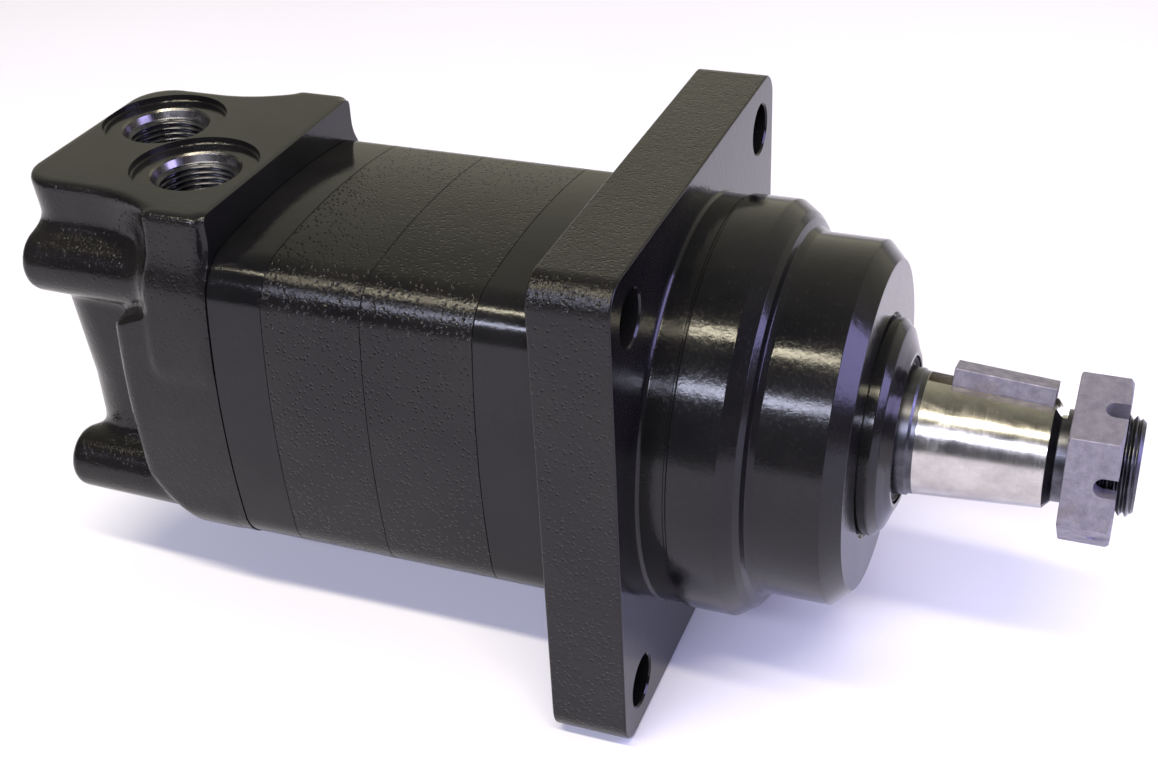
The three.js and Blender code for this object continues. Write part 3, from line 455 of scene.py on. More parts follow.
def smooth_max(a, b, k):
    return -smooth_min(-a, -b, k)


def surface_net(name, field, low, high, step):
    """Skin of the place where field(x, y, z) is negative, one vertex in each cell that it crosses."""
    axes = [np.arange(a, b + step, step) for a, b in zip(low, high)]
    x, y, z = np.meshgrid(*axes, indexing="ij")
    inner = field(x, y, z)[1:-1, 1:-1, 1:-1]
    value = np.pad(inner, 1, constant_values=step)
    cells = tuple(n - 1 for n in value.shape)
    total = np.zeros(cells + (3,))
    count = np.zeros(cells)
    crossings = []
    for axis in range(3):
        first = np.take(value, range(value.shape[axis] - 1), axis)
        second = np.take(value, range(1, value.shape[axis]), axis)
        where = np.argwhere((first < 0) != (second < 0))
        a = first[tuple(where.T)]
        b = second[tuple(where.T)]
        place = where.astype(float)
        place[:, axis] += a / (a - b)
        sides = [k for k in range(3) if k != axis]
        around = []
        for du, dv in ((0, 0), (1, 0), (1, 1), (0, 1)):
            cell = where.copy()
            cell[:, sides[0]] -= du
            cell[:, sides[1]] -= dv
            np.add.at(total, tuple(cell.T), place)
            np.add.at(count, tuple(cell.T), 1)
            around.append(cell)
        crossings.append((around, a < 0, axis))
    used = np.argwhere(count > 0)
    number = np.full(cells, -1)
    number[tuple(used.T)] = np.arange(len(used))
    points = total[tuple(used.T)] / count[tuple(used.T)][:, None] * step + np.array(low)
    faces = []
    for around, inside, axis in crossings:
        quads = np.stack([number[tuple(cell.T)] for cell in around], 1)
        flip = inside if axis == 1 else ~inside
        quads[flip] = quads[flip][:, ::-1]
        faces += quads.tolist()
    return solid(name, points.tolist(), faces)


def body_field(y, z, half):
    """Distance to the body outline in the YZ plane."""
    centre, tangent = body_corner(half)
    side = BODY_SIDE_RADIUS - half
    a = np.maximum(abs(y), abs(z))
    b = np.minimum(abs(y), abs(z))
    to_side = np.hypot(a + side, b) - BODY_SIDE_RADIUS
    to_corner = np.hypot(a - centre, b - centre) - BODY_CORNER
    return np.where(np.arctan2(b, a + side) > tangent, to_corner, to_side)


def span(value, low, high):
    return np.maximum(low - value, value - high)


def casting_field(x, y, z):
    """The valve housing as cast: body section, core under the pad, slab behind the joint, bosses."""
    narrow = np.minimum(abs(y), abs(z))
    ease = np.clip((narrow - 29) / np.where(z > 0, 8, 24), 0, 1)
    section_rear = SECTION_REAR + 13 * ease**2 * (3 - 2 * ease)
    section = smooth_max(body_field(y, z, BODY_HALF + 0.3), section_rear - x, 5)
    section = np.maximum(section, x - VALVE_HIGH.x - 6)

    below = np.clip(PAD_TOP - z, 0, 80)
    flare = np.clip((x + 200) / 26, 0, 1) ** 2
    half = CORE_HALF - 0.02 * below + 7.4 * flare
    corner = 15 + 0.06 * below
    rear = VALVE_LOW.x + 0.065 * below
    back = rear + corner - x
    side = abs(y) - half + corner
    plan = np.hypot(np.maximum(back, 0), np.maximum(side, 0)) + np.minimum(np.maximum(back, side), 0) - corner
    plan = np.maximum(plan, x - VALVE_HIGH.x - 2)
    core = smooth_max(plan, CORE_BOTTOM - z, 9)

    slab = smooth_max(span(x, SLAB_REAR, SLAB_FRONT), abs(y) - SLAB_HALF - 0.13 * below, 1.8)
    slab = smooth_max(slab, 12 - z, 10)

    shape = smooth_min(section, core, 7)
    shape = smooth_max(smooth_min(shape, slab, 4), z - PAD_TOP, PAD_EDGE)
    for centre_y in (-BOLT_OFFSET, BOLT_OFFSET):
        for centre_z in (-BOLT_OFFSET, BOLT_OFFSET):
            radius = BOSS_RADIUS + (x - BOSS_REAR) * 0.012
            boss = np.hypot(y - centre_y, z - centre_z) - radius
            boss = smooth_max(boss, span(x, BOSS_REAR, -160), 4)
            shape = smooth_min(shape, boss, 6)
    drain = smooth_max(np.hypot(y, z - DRAIN_Z) - DRAIN_BOSS_RADIUS, span(x, VALVE_LOW.x, -200), 2.5)
    return smooth_min(shape, drain, 4)


# ---- Materials -----------------------------------------------------------------------------------


class Nodes:
    """Short calls for building one material's nodes."""

    def __init__(self, name):
        self.material = bpy.data.materials.new(name)
        self.material.use_nodes = True
        self.tree = self.material.node_tree
        self.shader = self.tree.nodes["Principled BSDF"]
        self.place = self.add("TexCoord").outputs["Object"]

    def add(self, kind, **settings):
        prefix = "ShaderNodeTex" if kind in ("Noise", "Voronoi") else "ShaderNode"
        node = self.tree.nodes.new(prefix + kind)
        for key, value in settings.items():
            setattr(node, key, value)
        return node

    def link(self, source, target):
        self.tree.links.new(source, target)

    def stretched(self, scale):
        mapping = self.add("Mapping")
        self.link(self.place, mapping.inputs["Vector"])
        mapping.inputs["Scale"].default_value = scale
        return mapping.outputs["Vector"]

    def noise(self, scale, detail=2, roughness=0.5, place=None, distortion=0):
        node = self.add("Noise")
        self.link(place or self.place, node.inputs["Vector"])
        node.inputs["Scale"].default_value = scale
        node.inputs["Detail"].default_value = detail
        node.inputs["Roughness"].default_value = roughness
        node.inputs["Distortion"].default_value = distortion
        return node.outputs["Fac"]

    def pits(self, scale):
        node = self.add("Voronoi")
        self.link(self.place, node.inputs["Vector"])
        node.inputs["Scale"].default_value = scale
        return node.outputs["Distance"]

    def ramp(self, source, low, high, start=0.0, end=1.0):
        node = self.add("MapRange")
        self.link(source, node.inputs["Value"])
        for key, value in (("From Min", low), ("From Max", high), ("To Min", start), ("To Max", end)):
            node.inputs[key].default_value = value
        return node.outputs["Result"]

    def mix(self, factor, first, second):
        node = self.add("Mix", data_type="RGBA")
        self.link(factor, node.inputs["Factor"])
        for socket, value in ((node.inputs[6], first), (node.inputs[7], second)):
            if isinstance(value, tuple):
                socket.default_value = (*value, 1)
            else:
                self.link(value, socket)
        return node.outputs[2]

    def blend(self, operation, first, second):
        node = self.add("Math", operation=operation)
        for socket, value in zip(node.inputs, (first, second)):
            if isinstance(value, (int, float)):
                socket.default_value = value
            else:
                self.link(value, socket)
        return node.outputs[0]

    def bump(self, *layers):
        """Each layer is (height, depth in millimetres)."""
        below = None
        for height, depth in layers:
            node = self.add("Bump")
            node.inputs["Strength"].default_value = 1
            node.inputs["Distance"].default_value = depth * MM
            self.link(height, node.inputs["Height"])
            if below:
                self.link(below, node.inputs["Normal"])
            below = node.outputs["Normal"]
        self.link(below, self.shader.inputs["Normal"])

    def set(self, **values):
        for key, value in values.items():
            socket = self.shader.inputs[key.replace("_", " ")]
            if isinstance(value, bpy.types.NodeSocket):
                self.link(value, socket)
            else:
                socket.default_value = (*value, 1) if isinstance(value, tuple) else value
        return self.material


def paint(name, grain, peel, roughness, warmth=0.0, pock=0.0):
    """Black enamel: orange peel over metal that is smooth (grain 0) or as cast."""
    make = Nodes(name)
    patches = make.noise(28, 3, 0.6)
    specks = make.noise(900, 2, 0.6)
    dark = (0.0040 + warmth * 0.002, 0.0038 + warmth * 0.001, 0.0044)
    light = (0.0085 + warmth * 0.003, 0.0080 + warmth * 0.002, 0.0084)
    colour = make.mix(make.ramp(patches, 0.35, 0.7), dark, light)
    dusty = make.ramp(specks, 0.62, 0.8, 0, 0.35)
    colour = make.mix(dusty, colour, (0.026, 0.025, 0.023))
    rough = make.blend("ADD", make.ramp(patches, 0.3, 0.7, roughness * 0.8, roughness * 1.35),
                       make.ramp(specks, 0.4, 0.8, 0, 0.08))
    layers = [(make.noise(380, 2, 0.5), peel), (make.noise(1700, 2, 0.5), peel * 0.35)]
    if grain:
        layers.append((make.noise(1150, 4, 0.62, distortion=0.3), grain))
        layers.append((make.noise(240, 2, 0.5), grain * 0.8))
    if pock:
        layers.append((make.ramp(make.pits(560), 0.06, 0.34), pock))
    make.bump(*layers)
    return make.set(Base_Color=colour, Roughness=rough, Metallic=0.0, IOR=1.335)


def steel(name, colour, roughness, metallic=1.0, marks=0.012, smears=0.12, mottle=0.25, grain=0.0):
    """Turned steel: fine rings about X, wiped smears and scattered scratches."""
    make = Nodes(name)
    ringed = make.noise(1.0, 3, 0.7, make.stretched((2600, 40, 40)))
    coarse = make.noise(1.0, 2, 0.5, make.stretched((420, 6, 6)))
    smear = make.noise(1.0, 3, 0.6, make.stretched((70, 180, 60)), distortion=0.8)
    scratch = make.noise(1.0, 2, 0.5, make.stretched((90, 1500, 1100)), distortion=0.2)
    cloud = make.noise(120, 4, 0.65)
    deep = tuple(c * (1 - mottle) for c in colour)
    tint = make.mix(make.ramp(cloud, 0.35, 0.65), deep, colour)
    tint = make.mix(make.ramp(scratch, 0.66, 0.74, 0, 0.35), tint, tuple(min(c * 1.35, 0.9) for c in colour))
    rough = make.blend("ADD", make.ramp(smear, 0.38, 0.66, roughness, roughness + smears),
                       make.ramp(ringed, 0.3, 0.7, -0.03, 0.05))
    layers = [(ringed, marks * 0.35), (coarse, marks * 0.6), (scratch, marks * 0.5)]
    if grain:
        layers.append((make.noise(700, 4, 0.6), grain))
    make.bump(*layers)
    return make.set(Base_Color=tint, Roughness=rough, Metallic=metallic)


def zinc(name):
    """Dull plated forging: mottled grey with a violet cast, small dents and rubbed spots."""
    make = Nodes(name)
    cloud = make.noise(260, 5, 0.7)
    fleck = make.noise(1500, 3, 0.6)
    rubbed = make.noise(90, 3, 0.55, distortion=0.6)
    tint = make.mix(make.ramp(cloud, 0.36, 0.64), (0.155, 0.143, 0.180), (0.235, 0.222, 0.262))
    tint = make.mix(make.ramp(fleck, 0.56, 0.72, 0, 0.35), tint, (0.36, 0.34, 0.36))
    tint = make.mix(make.ramp(rubbed, 0.60, 0.72, 0, 0.4), tint, (0.16, 0.13, 0.11))
    rough = make.ramp(cloud, 0.3, 0.7, 0.62, 0.42)
    make.bump((cloud, 0.06), (fleck, 0.03), (make.pits(420), 0.02))
    return make.set(Base_Color=tint, Roughness=rough, Metallic=0.55)


def soft_rubber(name):
    make = Nodes(name)
    cloud = make.noise(400, 3, 0.6)
    tint = make.mix(make.ramp(cloud, 0.35, 0.65), (0.008, 0.008, 0.009), (0.022, 0.021, 0.021))
    make.bump((make.noise(1800, 3, 0.6), 0.02))
    return make.set(Base_Color=tint, Roughness=make.ramp(cloud, 0.3, 0.7, 0.5, 0.75))


GLOSS = paint("gloss_enamel", 0, 0.045, 0.11)
CAST = paint("cast_enamel", 0.08, 0.05, 0.12, warmth=0.4, pock=0.08)
ROUGH = paint("rough_cast_enamel", 0.09, 0.05, 0.11, warmth=0.4, pock=0.24)
FLANGE_EDGE = paint("sand_cast_enamel", 0.20, 0.05, 0.11, warmth=0.5, pock=0.20)
BRIGHT = steel("ground_steel", (0.50, 0.48, 0.445), 0.15)
# Dark steel: oil on the shaft, and also painted shade deep inside the ports of the valve housing.
DARK_STEEL_AND_PORT_SHADE = steel("oiled_dark_steel_and_port_shade", (0.11, 0.11, 0.125), 0.26, marks=0.02, mottle=0.5)
SEAT = steel("machined_seat", (0.20, 0.19, 0.18), 0.2, marks=0.02, mottle=0.35)
HARD = steel("hardened_steel", (0.42, 0.41, 0.40), 0.2)
BLACK_BOLT = steel("black_oxide_steel", (0.05, 0.05, 0.055), 0.34, metallic=0.9, grain=0.01)
ZINC = zinc("zinc_plate")
RUBBER = soft_rubber("nitrile_rubber")
BRONZE = steel("bearing_bronze", (0.42, 0.25, 0.10), 0.3)


# ---- Bearing housing -----------------------------------------------------------------------------


def corners(offset):
    return [(-offset, offset), (offset, offset), (offset, -offset), (-offset, -offset)]


def mount_hole(centre):
    radius = MOUNT_HOLE_RADIUS
    return turned("hole", [
        (FLANGE_REAR - 1, 0),
        (FLANGE_REAR - 1, radius + 1.5),
        (FLANGE_REAR + 0.5, radius),
        (-0.6, radius),
        (1, radius + 1.6),
        (1, 0),
    ], MEDIUM, centre)


def bearing_housing():
    flange = prism("bearing_housing_casting", square(FLANGE_HALF, FLANGE_CORNER), FLANGE_REAR, 0, 0.7)
    barrel = prism("barrel", body_outline(BODY_HALF), HOUSING_LOW.x - CLOSE, FLANGE_REAR + 2, SEAM)
    root = turned("fillet", [
        (FLANGE_REAR - 3, 0),
        (FLANGE_REAR - 3, BODY_HALF - 1),
        (FLANGE_REAR - 2.2, BODY_HALF + 0.2, 1),
        (FLANGE_REAR + 1, BODY_HALF + 4),
        (FLANGE_REAR + 1, 0),
    ])
    front = turned("front", [
        (-2, 0),
        (-2, RELIEF_RADIUS + 1),
        (0, RELIEF_RADIUS + 0.8),
        (0.8, RELIEF_RADIUS, 0.8),
        (PILOT_START - 1.2, RELIEF_RADIUS),
        (PILOT_START - 1.1, RELIEF_RADIUS - 0.35),
        (PILOT_START - 0.5, RELIEF_RADIUS - 0.35),
        (PILOT_START, PILOT_RADIUS, 0.4),
        (PILOT_END, PILOT_RADIUS, 0.8),
        (PILOT_END + 5, PILOT_RADIUS - 3.4, 0.8),
        (PILOT_END + 6.6, PILOT_RADIUS - 5.5, 0.8),
        (NOSE_START - 1, NOSE_RADIUS + 1.4, 0.8),
        (NOSE_START + 1, NOSE_RADIUS, 1.2),
        (NOSE_END - NOSE_CHAMFER, NOSE_RADIUS, 0.7),
        (NOSE_END, NOSE_RADIUS - NOSE_CHAMFER, 0.6),
        (NOSE_END, CARRIER_HIGH.y + 1.6, 0.2),
        (NOSE_END - 1.2, CARRIER_HIGH.y + 1.0),
        (NOSE_END - 1.2, 0),
    ])
    body = combine(flange, [barrel, root, front], "UNION")
    inner = turned("inner", [
        (HOUSING_LOW.x - 1, 0),
        (HOUSING_LOW.x - 1, CUP_BORE_RADIUS),
        (CUP_BORE_FRONT, CUP_BORE_RADIUS),
        (CUP_BORE_FRONT, MIDDLE_BORE_RADIUS),
        (MIDDLE_BORE_FRONT, MIDDLE_BORE_RADIUS),
        (MIDDLE_BORE_FRONT, CARRIER_HIGH.y + GAP),
        (NOSE_END + 1, CARRIER_HIGH.y + GAP),
        (NOSE_END + 1, 0),
    ])
    holes = [mount_hole(place) for place in corners(MOUNT_HOLE_OFFSET)]
    bolts = [bore(HOUSING_LOW.x - 1, -28, BOLT_HOLE_RADIUS, 48, place) for place in corners(BOLT_OFFSET)]
    return combine(body, [inner, *holes, *bolts])


def flange_material(centre, normal):
    on_edge = centre.x < 0 and max(abs(centre.y), abs(centre.z)) > BODY_HALF + 6 and abs(normal.x) < 0.4
    in_hole = math.hypot(abs(centre.y) - MOUNT_HOLE_OFFSET, abs(centre.z) - MOUNT_HOLE_OFFSET) < 10
    return 1 if on_edge and not in_hole else 0


dress(bearing_housing(), "housing", [GLOSS, FLANGE_EDGE], flange_material, ["bearing_housing"])


# ---- Stacked plates ------------------------------------------------------------------------------


def plate(name, low, high, cuts):
    made = prism(name, body_outline(BODY_HALF), low.x - CLOSE, high.x + CLOSE, SEAM)
    holes = [bore(low.x - 1, high.x + 1, BOLT_HOLE_RADIUS, 48, place) for place in corners(BOLT_OFFSET)]
    return combine(made, [*cuts, *holes])


def ring_places(count, radius, turn=0.0):
    angles = [2 * math.pi * (k + turn) / count for k in range(count)]
    return [(radius * math.cos(a), radius * math.sin(a)) for a in angles]


SEAL_INNER, SEAL_OUTER, SEAL_DEPTH = 47.8, 50.8, 2.3
ROLL_LOW, ROLL_HIGH = cad("roll_1")
ROLL_RADIUS = ROLL_HIGH.z
ROLL_CIRCLE = (ROLL_LOW.y + ROLL_HIGH.y) / 2

dress(plate("wear_plate_casting", WEAR_LOW, WEAR_HIGH, [
    bore(WEAR_LOW.x - 1, WEAR_HIGH.x + 1, 27),
    bore(WEAR_HIGH.x - 8, WEAR_HIGH.x + 1, 40),
    groove(WEAR_HIGH.x - SEAL_DEPTH, WEAR_HIGH.x + 1, SEAL_INNER, SEAL_OUTER),
    groove(WEAR_LOW.x - 1, WEAR_LOW.x + SEAL_DEPTH, SEAL_INNER, SEAL_OUTER),
]), "housing", [ROUGH], None, ["wear_plate"])

dress(plate("geroler_ring_casting", RING_LOW, RING_HIGH, [
    bore(RING_LOW.x - 1, RING_HIGH.x + 1, 38.2, FINE),
    *[bore(RING_LOW.x - 1, RING_HIGH.x + 1, ROLL_RADIUS + GAP, MEDIUM, place)
      for place in ring_places(7, ROLL_CIRCLE)],
]), "housing", [ROUGH], None, ["geroler_ring"])

dress(plate("valve_plate_ground", PLATE_LOW, PLATE_HIGH, [
    bore(PLATE_LOW.x - 1, PLATE_HIGH.x + 1, 16),
    *[bore(PLATE_LOW.x - 1, PLATE_HIGH.x + 1, 3.2, 32, place) for place in ring_places(7, 31, 0.5)],
    groove(PLATE_HIGH.x - SEAL_DEPTH, PLATE_HIGH.x + 1, SEAL_INNER, SEAL_OUTER),
]), "housing", [GLOSS], None, ["valve_plate"])


# ---- Valve housing -------------------------------------------------------------------------------


def stood_up(made, x, y, top):
    """Stands a tool made along X upright, its x = 0 end at the given height."""
    made.data.transform(Matrix.Rotation(-math.pi / 2, 4, "Y"))
    return shift(made, x, y, top)


def port_tools(x, y):
    floor = PAD_TOP - SPOTFACE_DEPTH
    spotface = turned("spotface", [
        (0, 0),
        (0, SPOTFACE_RADIUS - 0.5, 0.5),
        (0.5, SPOTFACE_RADIUS),
        (SPOTFACE_DEPTH + 2, SPOTFACE_RADIUS),
        (SPOTFACE_DEPTH + 2, 0),
    ], FINE)
    seat = turned("seat", [
        (-3.6, 0),
        (-3.6, PORT_MAJOR - 0.3),
        (-3.1, PORT_MAJOR + 0.2, 0.3),
        (-0.7, SEAT_RADIUS - 0.7, 0.3),
        (0.3, SEAT_RADIUS + 0.2),
        (0.3, 0),
    ], FINE)
    passage = turned("passage", [
        (6 - floor, 0),
        (6 - floor, PASSAGE_RADIUS),
        (-PORT_DEPTH + 2, PASSAGE_RADIUS),
        (-PORT_DEPTH + 2, 0),
    ])
    thread = screw(-PORT_DEPTH, -2.4, PORT_MINOR, PORT_MAJOR)
    return [stood_up(tool, x, y, floor) for tool in (spotface, seat, thread, passage)]


def valve_housing():
    low = (VALVE_LOW.x - 2.2, -63.4, -63.4)
    high = (VALVE_HIGH.x + 3, 63.6, PAD_TOP + 3)
    casting = surface_net("valve_housing_casting", casting_field, low, high, CELL)
    cavity = turned("cavity", [
        (VALVE_HIGH.x + 1, 0),
        (VALVE_HIGH.x + 1, VALVE_CAVITY_RADIUS),
        (VALVE_CAVITY_REAR, VALVE_CAVITY_RADIUS),
        (VALVE_CAVITY_REAR, BALANCE_CAVITY_RADIUS),
        (BALANCE_CAVITY_REAR, BALANCE_CAVITY_RADIUS),
        (BALANCE_CAVITY_REAR, CENTRE_BORE_RADIUS),
        (CENTRE_BORE_REAR, CENTRE_BORE_RADIUS),
        (CENTRE_BORE_REAR, 0),
    ], FINE)
    far = 100
    tools = [
        block(VALVE_HIGH.x + CLOSE, VALVE_HIGH.x + 20, -far, far, -far, far),
        cavity,
        groove(VALVE_HIGH.x - SEAL_DEPTH, VALVE_HIGH.x + 1, SEAL_INNER, SEAL_OUTER),
    ]
    for place in corners(BOLT_OFFSET):
        tools.append(bore(BOSS_REAR - 3, VALVE_HIGH.x + 1, BOLT_HOLE_RADIUS, 48, place))
        tools.append(turned("counterbore", [
            (BOSS_REAR - 3, 0),
            (BOSS_REAR - 3, BOLT_HEAD_RADIUS + GAP),
            (BOSS_REAR + COUNTERBORE_DEPTH, BOLT_HEAD_RADIUS + GAP),
            (BOSS_REAR + COUNTERBORE_DEPTH, 0),
        ], MEDIUM, place))
    for place in ring_places(4, 22.5, 0.5):
        tools.append(bore(-194, -184, 3.4, 32, place))
    for x, y in PORTS:
        tools += port_tools(x, y)
    tools.append(bore(VALVE_LOW.x - 3, VALVE_LOW.x + 1.5, 10, MEDIUM, (0, DRAIN_Z)))
    tools.append(bore(VALVE_LOW.x - 3, -184, 5.6, MEDIUM, (0, DRAIN_Z)))
    return combine(casting, tools)


def valve_housing_material(centre, normal):
    floor = PAD_TOP - SPOTFACE_DEPTH
    for x, y in PORTS:
        reach = math.hypot(centre.x - x, centre.y - y)
        if reach < SEAT_RADIUS + 0.9 and floor - PORT_DEPTH - 1 < centre.z < floor - 0.01:
            # Inside a port the top 3.2 mm gets the machined seat steel; the thread below gets the darker
            # steel as painted shade of the recess.
            return 2 if centre.z > floor - 3.2 else 3
    if centre.z > floor - 0.05 and normal.z > 0.9 or centre.x > VALVE_HIGH.x - 0.1:
        return 1
    return 0


dress(valve_housing(), "housing", [CAST, GLOSS, SEAT, DARK_STEEL_AND_PORT_SHADE], valve_housing_material,
      ["valve_housing"], sharp=38)


# ---- Output shaft, key and nut -------------------------------------------------------------------


def taper_radius(x):
    return TAPER_END_RADIUS + (TAPER_END - x) * TAPER_SLOPE


def key_block(name, x0, x1, width, height, lift):
    made = block(0, x1 - x0, -width / 2, width / 2, 0, height, name)
    made.data.transform(Matrix.Rotation(math.atan(TAPER_SLOPE), 4, "Y"))
    shift(made, x0, 0, taper_radius(x0) - KEYWAY_DEPTH + lift)
    return turn_about_x(made, KEY_TILT)


def output_shaft():
    shaft = turned("output_shaft_turned", [
        (SHAFT_LOW.x, 0),
        (SHAFT_LOW.x, 34.5),
        (SHAFT_LOW.x + 1.5, SHAFT_HEAD_RADIUS),
        (SHAFT_HEAD_FRONT, SHAFT_HEAD_RADIUS),
        (SHAFT_HEAD_FRONT, REAR_SEAT_RADIUS),
        (REAR_SEAT_FRONT, REAR_SEAT_RADIUS),
        (REAR_SEAT_FRONT, SHAFT_BODY_RADIUS),
        (FRONT_SEAT_REAR, SHAFT_BODY_RADIUS),
        (FRONT_SEAT_REAR, FRONT_SEAT_RADIUS),
        (FRONT_SEAT_FRONT, FRONT_SEAT_RADIUS),
        (FRONT_SEAT_FRONT, BEARING_NUT_RADIUS),
        (45.5, BEARING_NUT_RADIUS),
        (46, JOURNAL_RADIUS, 0.3),
        (TAPER_START - 0.8, JOURNAL_RADIUS, 0.3),
        (TAPER_START, taper_radius(TAPER_START), 0.2),
        (STAIN_END, taper_radius(STAIN_END)),
        (TAPER_END, TAPER_END_RADIUS, 0.3),
        (NECK_START, NECK_RADIUS, 0.8),
        (THREAD_START, NECK_RADIUS, 0.3),
        (THREAD_START + 1.2, THREAD_ROOT),
        (THREAD_START + 2.5, THREAD_ROOT),
        (THREAD_START + 2.5, 0),
    ])

    def chamfers(x):
        rise = THREAD_ROOT + (x - THREAD_START - 0.4) * 1.6
        fall = THREAD_ROOT - 0.6 + (SHAFT_HIGH.x - x) * 0.9
        return max(min(rise, fall, THREAD_RADIUS), THREAD_ROOT - 0.6)

    thread = screw(THREAD_START + 0.4, SHAFT_HIGH.x, THREAD_ROOT, THREAD_RADIUS, chamfers, FINE)
    shaft = combine(shaft, [thread], "UNION")
    keyway = key_block("keyway", KEYWAY_START, TAPER_END + 4, KEY_WIDTH + 2 * GAP, 12, 0)
    centre = turned("centre", [
        (SHAFT_HIGH.x - 9, 0),
        (SHAFT_HIGH.x - 9, 1.6),
        (SHAFT_HIGH.x - 5, 1.6),
        (SHAFT_HIGH.x + 0.5, 5),
        (SHAFT_HIGH.x + 0.5, 0),
    ], MEDIUM)
    spline = bore(SHAFT_LOW.x - 1, SPLINE_BORE_FRONT, SPLINE_BORE_RADIUS)
    end = bore(SPLINE_BORE_FRONT - 2, THRUST_BORE_FRONT, THRUST_BORE_RADIUS)
    return combine(shaft, [keyway, centre, spline, end])


def shaft_material(centre, normal):
    return 0 if STAIN_END <= centre.x <= TAPER_END + 0.25 else 1


dress(output_shaft(), "shaft", [BRIGHT, DARK_STEEL_AND_PORT_SHADE], shaft_material, ["output_shaft"], sharp=28)

key = key_block("shaft_key_ground", KEY_START, KEY_END, KEY_WIDTH, KEY_WIDTH, GAP)
dress(bevel(key, 0.35), "shaft", [ZINC], None, ["shaft_key"], sharp=60)


def slotted_nut():
    low, high = NUT_LOW.x, NUT_HIGH.x
    flats = NUT_ACROSS_FLATS
    blank = prism("slotted_nut_forged", hexagon(flats), low, high, 0.3)
    crown = turned("crown", [
        (low, 0),
        (low, flats / 2 + 2.6),
        (low + 0.8, flats / 2 + 4.2),
        (high - 1.4, flats / 2 + 4.2),
        (high, flats / 2 + 1.2),
        (high, 0),
    ])
    blank = combine(blank, [crown], "INTERSECT")
    half = NUT_SLOT_WIDTH / 2
    slots = []
    for k in range(6):
        slot = block(high - NUT_SLOT_DEPTH + half, high + 1, -half, half, 10, 40, "slot")
        end = bore(0, 30, half, 32)
        end.data.transform(Matrix.Rotation(-math.pi / 2, 4, "Y"))
        shift(end, high - NUT_SLOT_DEPTH + half, 0, 10)
        slots += [turn_about_x(tool, k * math.pi / 3) for tool in (slot, end)]
    hole = screw(low - 0.5, high + 0.5, THREAD_RADIUS - 0.1, THREAD_RADIUS + 0.45, None, FINE)
    sink = turned("sink", [
        (high - 1.0, 0),
        (high - 1.0, THREAD_RADIUS),
        (high + 0.5, THREAD_RADIUS + 1.5),
        (high + 0.5, 0),
    ])
    return turn_about_x(combine(blank, [hole, sink, *slots]), NUT_TURN)


dress(bevel(slotted_nut(), 0.3, 45), "shaft", [ZINC], None, ["slotted_nut"], sharp=35)


# ---- Seal carrier and wiper ----------------------------------------------------------------------


def seal_carrier():
    outer = CARRIER_HIGH.y
    front = CARRIER_HIGH.x
    return turned("seal_carrier_turned", [
        (CARRIER_LOW.x, 31),
        (CARRIER_LOW.x, outer, 0.5),
        (51, outer),
        (51, outer - 2.2),
        (54, outer - 2.2),
        (54, outer),
        (NOSE_END + 3.4, outer, 0.9),
        (NOSE_END + 5.8, outer - 2.6, 2.0),
        (front - 1.2, 28.6, 2.0),
        (front, 26, 0.5),
        (front, 24.4, 0.3),
        (64.5, 24.3),
        (64.5, 21.3),
        (60, 21.3),
        (60, 31),
    ])


def dust_wiper():
    return turned("dust_wiper_lip", [
        (64.8, 22.6),
        (64.8, 24),
        (CARRIER_HIGH.x - 0.8, 24, 0.3),
        (CARRIER_HIGH.x - 0.4, 23.4, 0.4),
        (CARRIER_HIGH.x - 1.6, 22.6, 0.3),
        (CARRIER_HIGH.x - 0.5, 21.2, 0.15),
        (CARRIER_HIGH.x - 2.0, 21.3),
        (66.6, 22.4, 0.3),
    ])


dress(seal_carrier(), "housing", [GLOSS], None, ["seal_carrier"])
dress(dust_wiper(), "housing", [RUBBER], None, ["dust_wiper"])


# ---- Tie bolts and drain plug --------------------------------------------------------------------


def socket(low, across_flats, depth):
    return prism("socket", hexagon(across_flats, 0.2), low - 1, low + depth, 0.05)


def tie_bolt(number, place):
    low, high = BOLT_LOW.x, BOLT_HIGH.x
    head = low + BOLT_HEAD_LENGTH
    made = turned(f"tie_bolt_{number}_machined", [
        (low, 0),
        (low, BOLT_HEAD_RADIUS - 0.9, 0.3),
        (low + 0.9, BOLT_HEAD_RADIUS, 0.3),
        (head, BOLT_HEAD_RADIUS),
        (head, 6.6),
        (head + 0.6, BOLT_RADIUS),
        (high - 1, BOLT_RADIUS),
        (high, BOLT_RADIUS - 1),
        (high, 0),
    ], MEDIUM)
    knurls = [
        turn_about_x(shift(block(low + 1.6, head - 1.6, -0.3, 0.3, 0, 1), 0, 0, BOLT_HEAD_RADIUS - 0.25), a)
        for a in np.arange(36) * math.pi / 18
    ]
    combine(made, [socket(low, 10, 6), *knurls])
    return shift(made, 0, *place)


for number, place in enumerate(corners(BOLT_OFFSET), 1):
    dress(tie_bolt(number, place), "housing", [BLACK_BOLT], None, [f"tie_bolt_{number}"])


def drain_plug():
    low, high = DRAIN_LOW.x, DRAIN_HIGH.x
    face = VALVE_LOW.x + 1.5
    made = turned("drain_plug_turned", [
        (low, 0),
        (low, 7.2, 0.5),
        (low + 1, 8, 0.5),
        (face - GAP, 8, 0.2),
        (face - GAP, 4.2),
        (face + 3.4, 4.2),
        (face + 3.4, 5.3),
        (high, 5.3),
        (high, 0),
    ], MEDIUM)
    combine(made, [socket(low, 6.35, 3.4)])
    return shift(made, 0, 0, DRAIN_Z)


dress(drain_plug(), "housing", [ZINC], None, ["drain_plug"])


# ---- CAD nodes that keep their shape and get a finish --------------------------------------------

FINISHES = {"gloss_paint": GLOSS, "cast_paint": CAST, "bright_steel": HARD, "dark_steel": DARK_STEEL_AND_PORT_SHADE,
            "zinc_steel": ZINC, "bronze": BRONZE, "rubber": RUBBER}

for part in frame["record"]["subparts"]:
    node = frame["nodes"][part["node"]]
    if not node.hide_render:
        node.data.materials.clear()
        node.data.materials.append(FINISHES[part["material_slot"]])


# ---- Floor, light and camera ---------------------------------------------------------------------


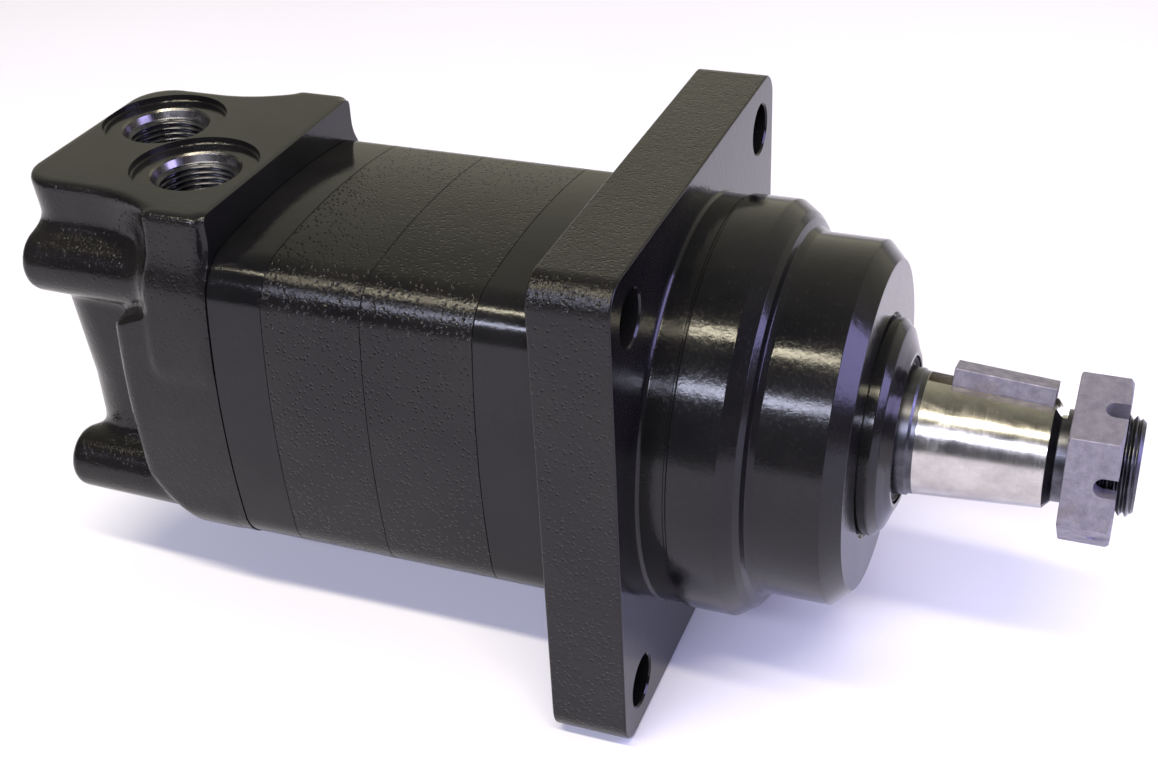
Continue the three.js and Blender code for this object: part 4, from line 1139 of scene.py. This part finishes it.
def floor():
    size = 6000
    level = cad_box[0].z / MM - 0.5
    points = [(a * size, b * size, level) for a, b in ((-1, -1), (1, -1), (1, 1), (-1, 1))]
    made = solid("floor", points, [(0, 1, 2, 3)])
    make = Nodes("pale_floor")
    cloud = make.noise(3, 3)
    tint = make.mix(make.ramp(cloud, 0.3, 0.7), (0.78, 0.77, 0.85), (0.81, 0.80, 0.87))
    made.data.materials.append(make.set(Base_Color=tint, Roughness=0.7))


def area_light(name, towards, distance, size, power, colour):
    """A soft light in the direction (x, y, z) from the middle of the motor."""
    data = bpy.data.lights.new(name, "AREA")
    data.shape = "RECTANGLE"
    data.size, data.size_y = size
    data.energy = power
    data.color = colour
    lamp = bpy.data.objects.new(name, data)
    bpy.context.scene.collection.objects.link(lamp)
    direction = Vector(towards).normalized()
    lamp.location = Vector((-0.03, 0, 0)) + direction * distance
    lamp.rotation_euler = direction.to_track_quat("Z", "Y").to_euler()
    return lamp


def world():
    """A room that is warm and bright behind the motor, darker overhead and dim in front of it."""
    room = bpy.data.worlds.new("room")
    bpy.context.scene.world = room
    room.use_nodes = True
    tree = room.node_tree
    place = tree.nodes.new("ShaderNodeTexCoord")
    split = tree.nodes.new("ShaderNodeSeparateXYZ")
    tree.links.new(place.outputs["Generated"], split.inputs[0])
    ramp = tree.nodes.new("ShaderNodeValToRGB")
    half = tree.nodes.new("ShaderNodeMapRange")
    half.inputs["From Min"].default_value = -1
    tree.links.new(split.outputs["Y"], half.inputs["Value"])
    tree.links.new(half.outputs["Result"], ramp.inputs["Fac"])
    stops = ((0.0, (0.13, 0.13, 0.16)), (0.42, (0.09, 0.09, 0.09)), (0.70, (0.40, 0.39, 0.31)),
             (1.0, (0.80, 0.77, 0.60)))
    ramp.color_ramp.elements.remove(ramp.color_ramp.elements[0])
    for k, (at, colour) in enumerate(stops):
        stop = ramp.color_ramp.elements[0] if k == 0 else ramp.color_ramp.elements.new(at)
        stop.position = at
        stop.color = (*colour, 1)
    tree.links.new(ramp.outputs["Color"], tree.nodes["Background"].inputs["Color"])
    tree.nodes["Background"].inputs["Strength"].default_value = 1.0


CAMERA_PLACE = (0.14084, -0.45166, 0.30400)
CAMERA_AZIMUTH = 21.736
CAMERA_ELEVATION = 32.418
CAMERA_ROLL = -2.661
FRAME_WIDTH = 1158
FOCAL_PIXELS = 1661.5
SENSOR = 36


def camera():
    data = bpy.data.cameras.new("camera")
    made = bpy.data.objects.new("camera", data)
    bpy.context.scene.collection.objects.link(made)
    data.sensor_width = SENSOR
    data.lens = SENSOR * FOCAL_PIXELS / FRAME_WIDTH
    data.shift_x = -0.01344
    data.shift_y = 0.00814
    data.clip_start = 0.01
    aim = Matrix.Rotation(math.radians(CAMERA_AZIMUTH), 4, "Z")
    aim = aim @ Matrix.Rotation(math.radians(90 - CAMERA_ELEVATION), 4, "X")
    aim = aim @ Matrix.Rotation(math.radians(CAMERA_ROLL), 4, "Z")
    made.matrix_world = Matrix.Translation(CAMERA_PLACE) @ aim
    bpy.context.scene.camera = made


floor()
world()
area_light("ceiling_light", (-0.02, -0.38, 0.90), 1.9, (2.2, 0.12), 38, (1.0, 0.92, 0.70))
area_light("window", (-0.06, -0.77, 0.58), 1.7, (1.6, 0.14), 28, (0.76, 0.78, 1.0))
area_light("blue_bounce", (0.93, 0.10, 0.40), 1.2, (0.6, 0.5), 10, (0.50, 0.46, 1.0))
area_light("fill", (0.2, 0.3, 0.95), 2.2, (1.6, 1.6), 14, (1.0, 0.98, 0.96)).visible_glossy = False
camera()
bpy.context.scene.view_settings.view_transform = "Standard"
